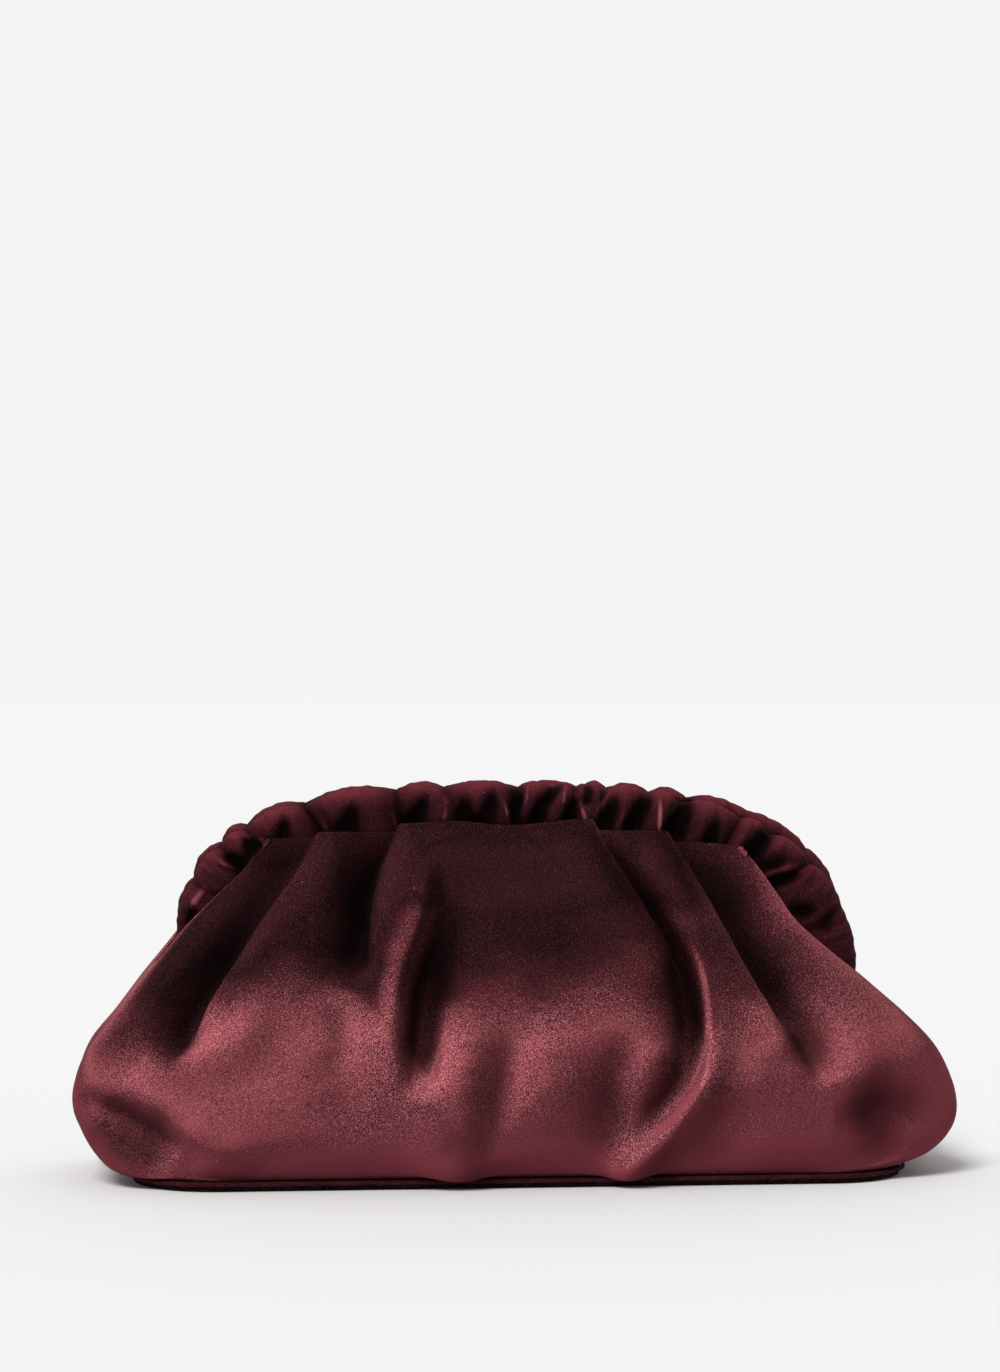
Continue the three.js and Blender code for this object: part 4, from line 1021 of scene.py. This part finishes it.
def pile_colour(tree, look, tone, amount, coords, tufts):
    """Colour of the pile: its tone, darkened in the gaps between tufts, with painted glints of the bloom
    colour on single tufts by an amount, and lint.
    """
    gaps = node(tree, "MapRange", Value=tufts, From_Min=0.4, From_Max=0.58, To_Min=-0.75, To_Max=0.3)
    gain = node(tree, "Math", ADD_TIMES, i0=gaps, i1=amount, i2=1.0)
    pile = node(tree, "VectorMath", {"operation": "SCALE"}, i0=tone, Scale=gain)
    tip_glints = node(tree, "MapRange", Value=tufts, From_Min=0.54, From_Max=0.7, To_Max=1.2)
    tip_glints = node(tree, "Math", TIMES, i0=tip_glints, i1=amount)
    pile = node(tree, "Mix", COLOURS, 2, Factor=tip_glints, i6=pile, i7=linear(look.bloom))
    specks = node(tree, "TexVoronoi", Vector=coords, Scale=pattern(LINT_SPACING))
    speck = node(tree, "Math", BELOW, i0=specks, i1=LINT_SIZE / LINT_SPACING)
    chosen = node(tree, "SeparateColor", i0=specks.node.outputs["Color"])
    rare = node(tree, "Math", BELOW, i0=chosen, i1=LINT_SHARE)
    both = node(tree, "Math", TIMES, i0=speck, i1=rare)
    return node(tree, "Mix", COLOURS, 2, Factor=both, i6=pile, i7=linear(look.lint))


def velvet_shader(tree, look, colour, tufts):
    """Matt pile with a faint sheen along its edges, uneven by its tufts."""
    bump = node(tree, "Bump", Height=tufts, Strength=0.25, Distance=0.3 * MM)
    shader = node(tree, "BsdfPrincipled", Base_Color=colour, Normal=bump, Roughness=0.8, IOR=1.4,
                  Specular_IOR_Level=0.04, Sheen_Weight=0.06, Sheen_Roughness=0.35,
                  Sheen_Tint=linear(look.bloom))
    node(tree, "OutputMaterial", Surface=shader)


def cut_pile_velvet(name, look):
    """Burgundy polyester velvet: a short dense cut pile on a knitted ground, brushed down the
    slope of the bag. Its sheen and shade are painted into its colour: dark where the cloth faces
    the painted sheen's direction, with painted glints on single tufts where it starts to turn
    from it, and smooth and rosy beyond. The ground of a fold gets painted shade, slopes and
    crests to the lit side are painted paler, and a few specks of lint show."""
    material, tree, coords, patches, tufts = velvet_ground(name, (35.7, 4.0, 0.6), TUFT)
    hollow, angle, slope, grain_and_glints = (
        node(tree, "Attribute", {"attribute_name": mark}, "Fac")
        for mark in ("hollow", "sheen_lean", "slope", "grain_and_glints"))
    sheen_lean = node(tree, "Math", ADD_TIMES, i0=patches, i1=0.46, i2=angle)
    sheen_lean = node(tree, "MapRange", Value=sheen_lean, From_Min=-0.17, From_Max=1.23)
    # Painted sheen and shade, by the cloth's direction
    tone = node(tree, "ValToRGB", i0=sheen_lean, stops=(
        (0.0, look.deep), (0.1, "#2d0f16"), (0.21, "#1e090d"), (0.3, "#331218"), (0.37, "#4b1c23"),
        (0.45, "#672d35"), (0.53, "#7f3b43"), (0.62, "#954951"), (0.7, "#843d46"),
        (0.8, look.body), (1.0, "#71323b")))
    clumps = node(tree, "MapRange", Value=patches, From_Min=0.3, From_Max=0.7, To_Min=0.7, To_Max=1.5)
    sparkle = node(tree, "Math", TIMES, i0=grain_and_glints, i1=clumps)
    # Painted light on slopes to the lit side, painted shade on slopes away from it
    lit = node(tree, "MapRange", Value=slope, From_Min=-0.6, From_Max=0.6)
    lit = node(tree, "ValToRGB", i0=lit, stops=(
        (0.0, 0.3), (0.3, 0.58), (0.5, 1.0), (0.75, 1.45), (1.0, 1.7)))
    # Painted shade in the hollows of the folds, lighter on crests
    shade = node(tree, "MapRange", Value=hollow, From_Min=-4.0, From_Max=6.0)
    shade = node(tree, "ValToRGB", i0=shade, stops=(
        (0.0, 1.15), (0.4, 1.0), (0.5, 0.86), (0.62, 0.66), (0.8, 0.38), (1.0, 0.17)))
    shade = node(tree, "VectorMath", TIMES, i0=shade, i1=lit)
    pile = pile_colour(tree, look, tone, sparkle, coords, tufts)
    velvet_shader(tree, look, node(tree, "VectorMath", TIMES, i0=pile, i1=shade), tufts)
    return material


def gathered_velvet(name, look):
    """The same velvet with its pile lying along the sleeve, its light and shade painted into its
    colour: dark on the faces that look to the front, painted warmer over the top, near black
    with painted shade in the tucks and gathers, and rosy with a painted highlight on the crests."""
    material, tree, coords, patches, tufts = velvet_ground(name, (16.7, 3.0, 0.55), TUFT)
    # Painted light: faces turned upwards are painted lighter
    faced = node(tree, "SeparateXYZ", out="Z", Vector=node(tree, "NewGeometry", out="Normal"))
    hollow = node(tree, "Attribute", {"attribute_name": "hollow"}, "Fac")
    sheen_lean = node(tree, "Math", ADD_TIMES, i0=patches, i1=0.3, i2=faced)
    tone = node(tree, "ValToRGB", i0=sheen_lean, stops=(
        (0.0, "#2e0f15"), (0.35, "#311017"), (0.75, "#4b1a22"), (1.0, "#64242e")))
    tone = pile_colour(tree, look, tone, 0.14, coords, tufts)
    # Painted shade in the tucks and gathers
    shade = node(tree, "MapRange", Value=hollow, From_Max=3.0)
    shade = node(tree, "ValToRGB", i0=shade, stops=((0.0, 1.0), (0.25, 0.5), (0.5, 0.12), (1.0, 0.04)))
    tone = node(tree, "VectorMath", TIMES, i0=tone, i1=shade)
    # Painted highlight on the crests of the ridges
    crest = node(tree, "MapRange", Value=hollow, From_Min=-0.3, From_Max=-1.5, To_Max=0.75)
    tone = node(tree, "Mix", COLOURS, 2, Factor=crest, i6=tone, i7=linear("#b05c64"))
    velvet_shader(tree, look, tone, tufts)
    return material


def covering_velvet(name, look, dark="#0e0506", light="#1d090d"):
    """The same velvet drawn tight over the stiff base, its pile pressed flat. It is painted near black, as
    painted shade under the overhanging belly.
    """
    material, tree, coords, patches, tufts = velvet_ground(name, (11.1, 3.0, 0.5), PRESSED_TUFT)
    share = node(tree, "MapRange", {"interpolation_type": "SMOOTHSTEP"}, Value=patches,
                 From_Min=0.2, From_Max=0.8)
    tone = node(tree, "Mix", COLOURS, 2, Factor=share, i6=linear(dark), i7=linear(light))
    velvet_shader(tree, look, pile_colour(tree, look, tone, 0.1, coords, tufts), tufts)
    return material


def plated_steel(name):
    """Nickel-plated steel rod, drawn and lightly polished: fine lines run along it."""
    material, tree = new_material(name)
    lines = node(tree, "TexNoise", Vector=node(tree, "TexCoord", out="Object"),
                 Scale=pattern(POLISH), Detail=2.0)
    gloss = node(tree, "MapRange", Value=lines, To_Min=0.25, To_Max=0.4)
    shader = node(tree, "BsdfPrincipled", Base_Color=linear("#b9b4a8"), Metallic=1.0, Roughness=gloss)
    node(tree, "OutputMaterial", Surface=shader)
    return material


def finish_of(maker, name, *tones):
    """A velvet finish by its name, made once."""
    return bpy.data.materials.get(name) or maker(name, bpy.context.scene.velvet_look, *tones)


# Flat sizes of the sheets, in metres, and area of a panel, which is narrower at its top
PANEL_FLAT = (0.38, 0.15)
SLEEVE_FLAT = (0.41, 0.039)
# The stage: the lamp's direction, strength and spread in degrees, half the floor's width and
# the camera's reach in metres, and its sensor in mm
KEY = {"way": (0.35, 0.5, -0.8), "strength": 2.2, "spread": 25}
FLOOR_HALF = 30
FAR = 50
SENSOR = 36


class POUCH_OT_panels(bpy.types.Operator):
    """Makes the pleated front and back of the pouch"""

    bl_idname = "pouch.panels"
    bl_label = "Pleated panels"

    def execute(self, context):
        s = context.scene.pouch_sizes
        columns = 2 * SIDE_COLUMNS + sum(PANEL_FILLS) + 1
        made = [
            ("front_velvet", "front_panel", FRONT_PLEATS, FRONT_FOLDS, FRONT_TOP, FRONT_SAGS, 1),
            ("back_velvet", "back_panel", BACK_PLEATS, BACK_FOLDS, BACK_TOP, BACK_SAGS, -1),
        ]
        for name, cad_node, pleats, folds, tops, sags, facing in made:
            piece = grid_piece(
                name, columns, PANEL_ROWS, lambda: panel_points(s, pleats, folds, tops, sags, facing),
                facing < 0, PANEL_FLAT)
            thicken(piece, s.cloth_wall)
            dress(piece, finish_of(cut_pile_velvet, "Cut pile velvet"))
            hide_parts(cad_node)
        return {"FINISHED"}


class POUCH_OT_sleeves(bpy.types.Operator):
    """Makes the two gathered sleeves over the closing frame"""

    bl_idname = "pouch.sleeves"
    bl_label = "Gathered sleeves"

    def execute(self, context):
        s = context.scene.pouch_sizes
        made = [
            ("front_sleeve", "front_casing", FRONT_GATHERS, FRONT_TUCKS, FRONT_SHOULDERS, 1, 0.4),
            ("back_sleeve", "back_casing", BACK_GATHERS, BACK_TUCKS, BACK_SHOULDERS, -1, 1.7),
        ]
        for name, cad_node, gathers, tucks, shoulders, facing, seed in made:
            piece = grid_piece(
                name, *SLEEVE_GRID,
                lambda: sleeve_points(s, gathers, tucks, shoulders, facing, seed),
                facing > 0, SLEEVE_FLAT)
            thicken(piece, s.cloth_wall)
            dress(piece, finish_of(gathered_velvet, "Gathered velvet"))
            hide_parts(cad_node)
        return {"FINISHED"}


class POUCH_OT_base(bpy.types.Operator):
    """Covers the base and its piping in velvet, and finishes the frame"""

    bl_idname = "pouch.base"
    bl_label = "Base and frame"

    def execute(self, context):
        for name, material in (
            # The base is painted near black, as the shade under the belly.
            ("base_panel", finish_of(covering_velvet, "Covering velvet")),
            ("base_welt", finish_of(covering_velvet, "Piping velvet", "#280d12", "#3c161d")),
            ("closing_frame", plated_steel("Plated steel")),
        ):
            finish(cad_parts[name], material)
        return {"FINISHED"}


class POUCH_OT_stage(bpy.types.Operator):
    """Sets the pale floor, the soft studio light and the camera"""

    bl_idname = "pouch.stage"
    bl_label = "Stage"

    def execute(self, context):
        look = context.scene.stage_look
        self.camera(context.scene, look)
        self.floor(look)
        self.world(context.scene)
        self.key_light()
        context.scene.view_settings.view_transform = "Standard"
        return {"FINISHED"}

    def camera(self, scene, look):
        """A level camera a little above the bag, turned to its left."""
        data = bpy.data.cameras.new("Camera")
        data.sensor_width = SENSOR
        data.lens = look.focal_pixels / PICTURE_HEIGHT * SENSOR
        data.clip_end = FAR
        turn = look.camera_azimuth
        back = Vector((math.sin(turn), -math.cos(turn), 0))
        right = Vector((math.cos(turn), math.sin(turn), 0))
        shift = look.middle_pixel * look.camera_distance / look.focal_pixels
        eye = put("Camera", data)
        eye.location = back * look.camera_distance - right * shift + Vector((0, 0, look.camera_height))
        eye.rotation_euler = (math.pi / 2, 0, turn)
        scene.camera = eye

    def key_light(self):
        """A broad soft light from high up on the left, before the bag."""
        light = bpy.data.lights.new("Key", "SUN")
        light.energy = KEY["strength"]
        light.angle = math.radians(KEY["spread"])
        way = Vector(KEY["way"]).to_track_quat("-Z", "Y")
        put("Key", light).rotation_euler = way.to_euler()

    def floor(self, look):
        """A wide sheet of matt white paper."""
        bm = bmesh.new()
        bmesh.ops.create_grid(bm, x_segments=2, y_segments=2, size=FLOOR_HALF)
        floor = object_of("floor", bm)
        # Uncoated paper from a wide roll: quite matt, with fibres that barely show
        material, tree = new_material("Matt white paper")
        fibre = node(tree, "TexNoise", Vector=node(tree, "TexCoord", out="Object"), Scale=pattern(FIBRE))
        bump = node(tree, "Bump", Height=fibre, Strength=0.05, Distance=0.1 * MM)
        shader = node(tree, "BsdfPrincipled", Base_Color=linear(look.floor_tone), Roughness=0.9,
                      Specular_IOR_Level=0.0, Normal=bump)
        node(tree, "OutputMaterial", Surface=shader)
        floor.data.materials.append(material)

    def world(self, scene):
        """A pale studio: the backdrop behind the bag is bright, the room before it dimmer."""
        world = bpy.data.worlds.new("Studio")
        world.use_nodes = True
        scene.world = world
        tree = world.node_tree
        tree.nodes.clear()
        split = node(tree, "SeparateXYZ", out="Y", Vector=node(tree, "TexCoord", out="Generated"))
        behind = node(tree, "MapRange", Value=split, From_Min=-0.3, From_Max=0.6,
                      To_Min=0.32, To_Max=0.913)
        light = node(tree, "Background", Color=(1, 1, 1, 1), Strength=behind)
        node(tree, "OutputWorld", Surface=light)


class POUCH_PT_panel(bpy.types.Panel):
    """The bag's sizes, colours and steps"""

    bl_label = "Pouch Bag"
    bl_idname = "POUCH_PT_panel"
    bl_space_type = "VIEW_3D"
    bl_region_type = "UI"
    bl_category = "Pouch Bag"

    def draw(self, context):
        for group in (context.scene.pouch_sizes, context.scene.velvet_look, context.scene.stage_look):
            box = self.layout.box()
            for key in group.__annotations__:
                box.prop(group, key)
        for step in STEPS:
            self.layout.operator(step.bl_idname)


STEPS = (POUCH_OT_stage, POUCH_OT_panels, POUCH_OT_sleeves, POUCH_OT_base)
GROUPS = (("pouch_sizes", PouchSizes), ("velvet_look", VelvetLook), ("stage_look", StageLook))


def register():
    """Adds the properties, the steps and the sidebar panel."""
    for name, group in GROUPS:
        bpy.utils.register_class(group)
        setattr(bpy.types.Scene, name, PointerProperty(type=group))
    for step in STEPS:
        bpy.utils.register_class(step)
    bpy.utils.register_class(POUCH_PT_panel)


def unregister():
    """Takes them away again."""
    bpy.utils.unregister_class(POUCH_PT_panel)
    for step in reversed(STEPS):
        bpy.utils.unregister_class(step)
    for name, group in reversed(GROUPS):
        delattr(bpy.types.Scene, name)
        bpy.utils.unregister_class(group)


def main():
    """Makes the whole bag."""
    register()
    bpy.ops.pouch.stage()
    bpy.ops.pouch.panels()
    bpy.ops.pouch.sleeves()
    bpy.ops.pouch.base()


if __name__ == "__main__":
    main()
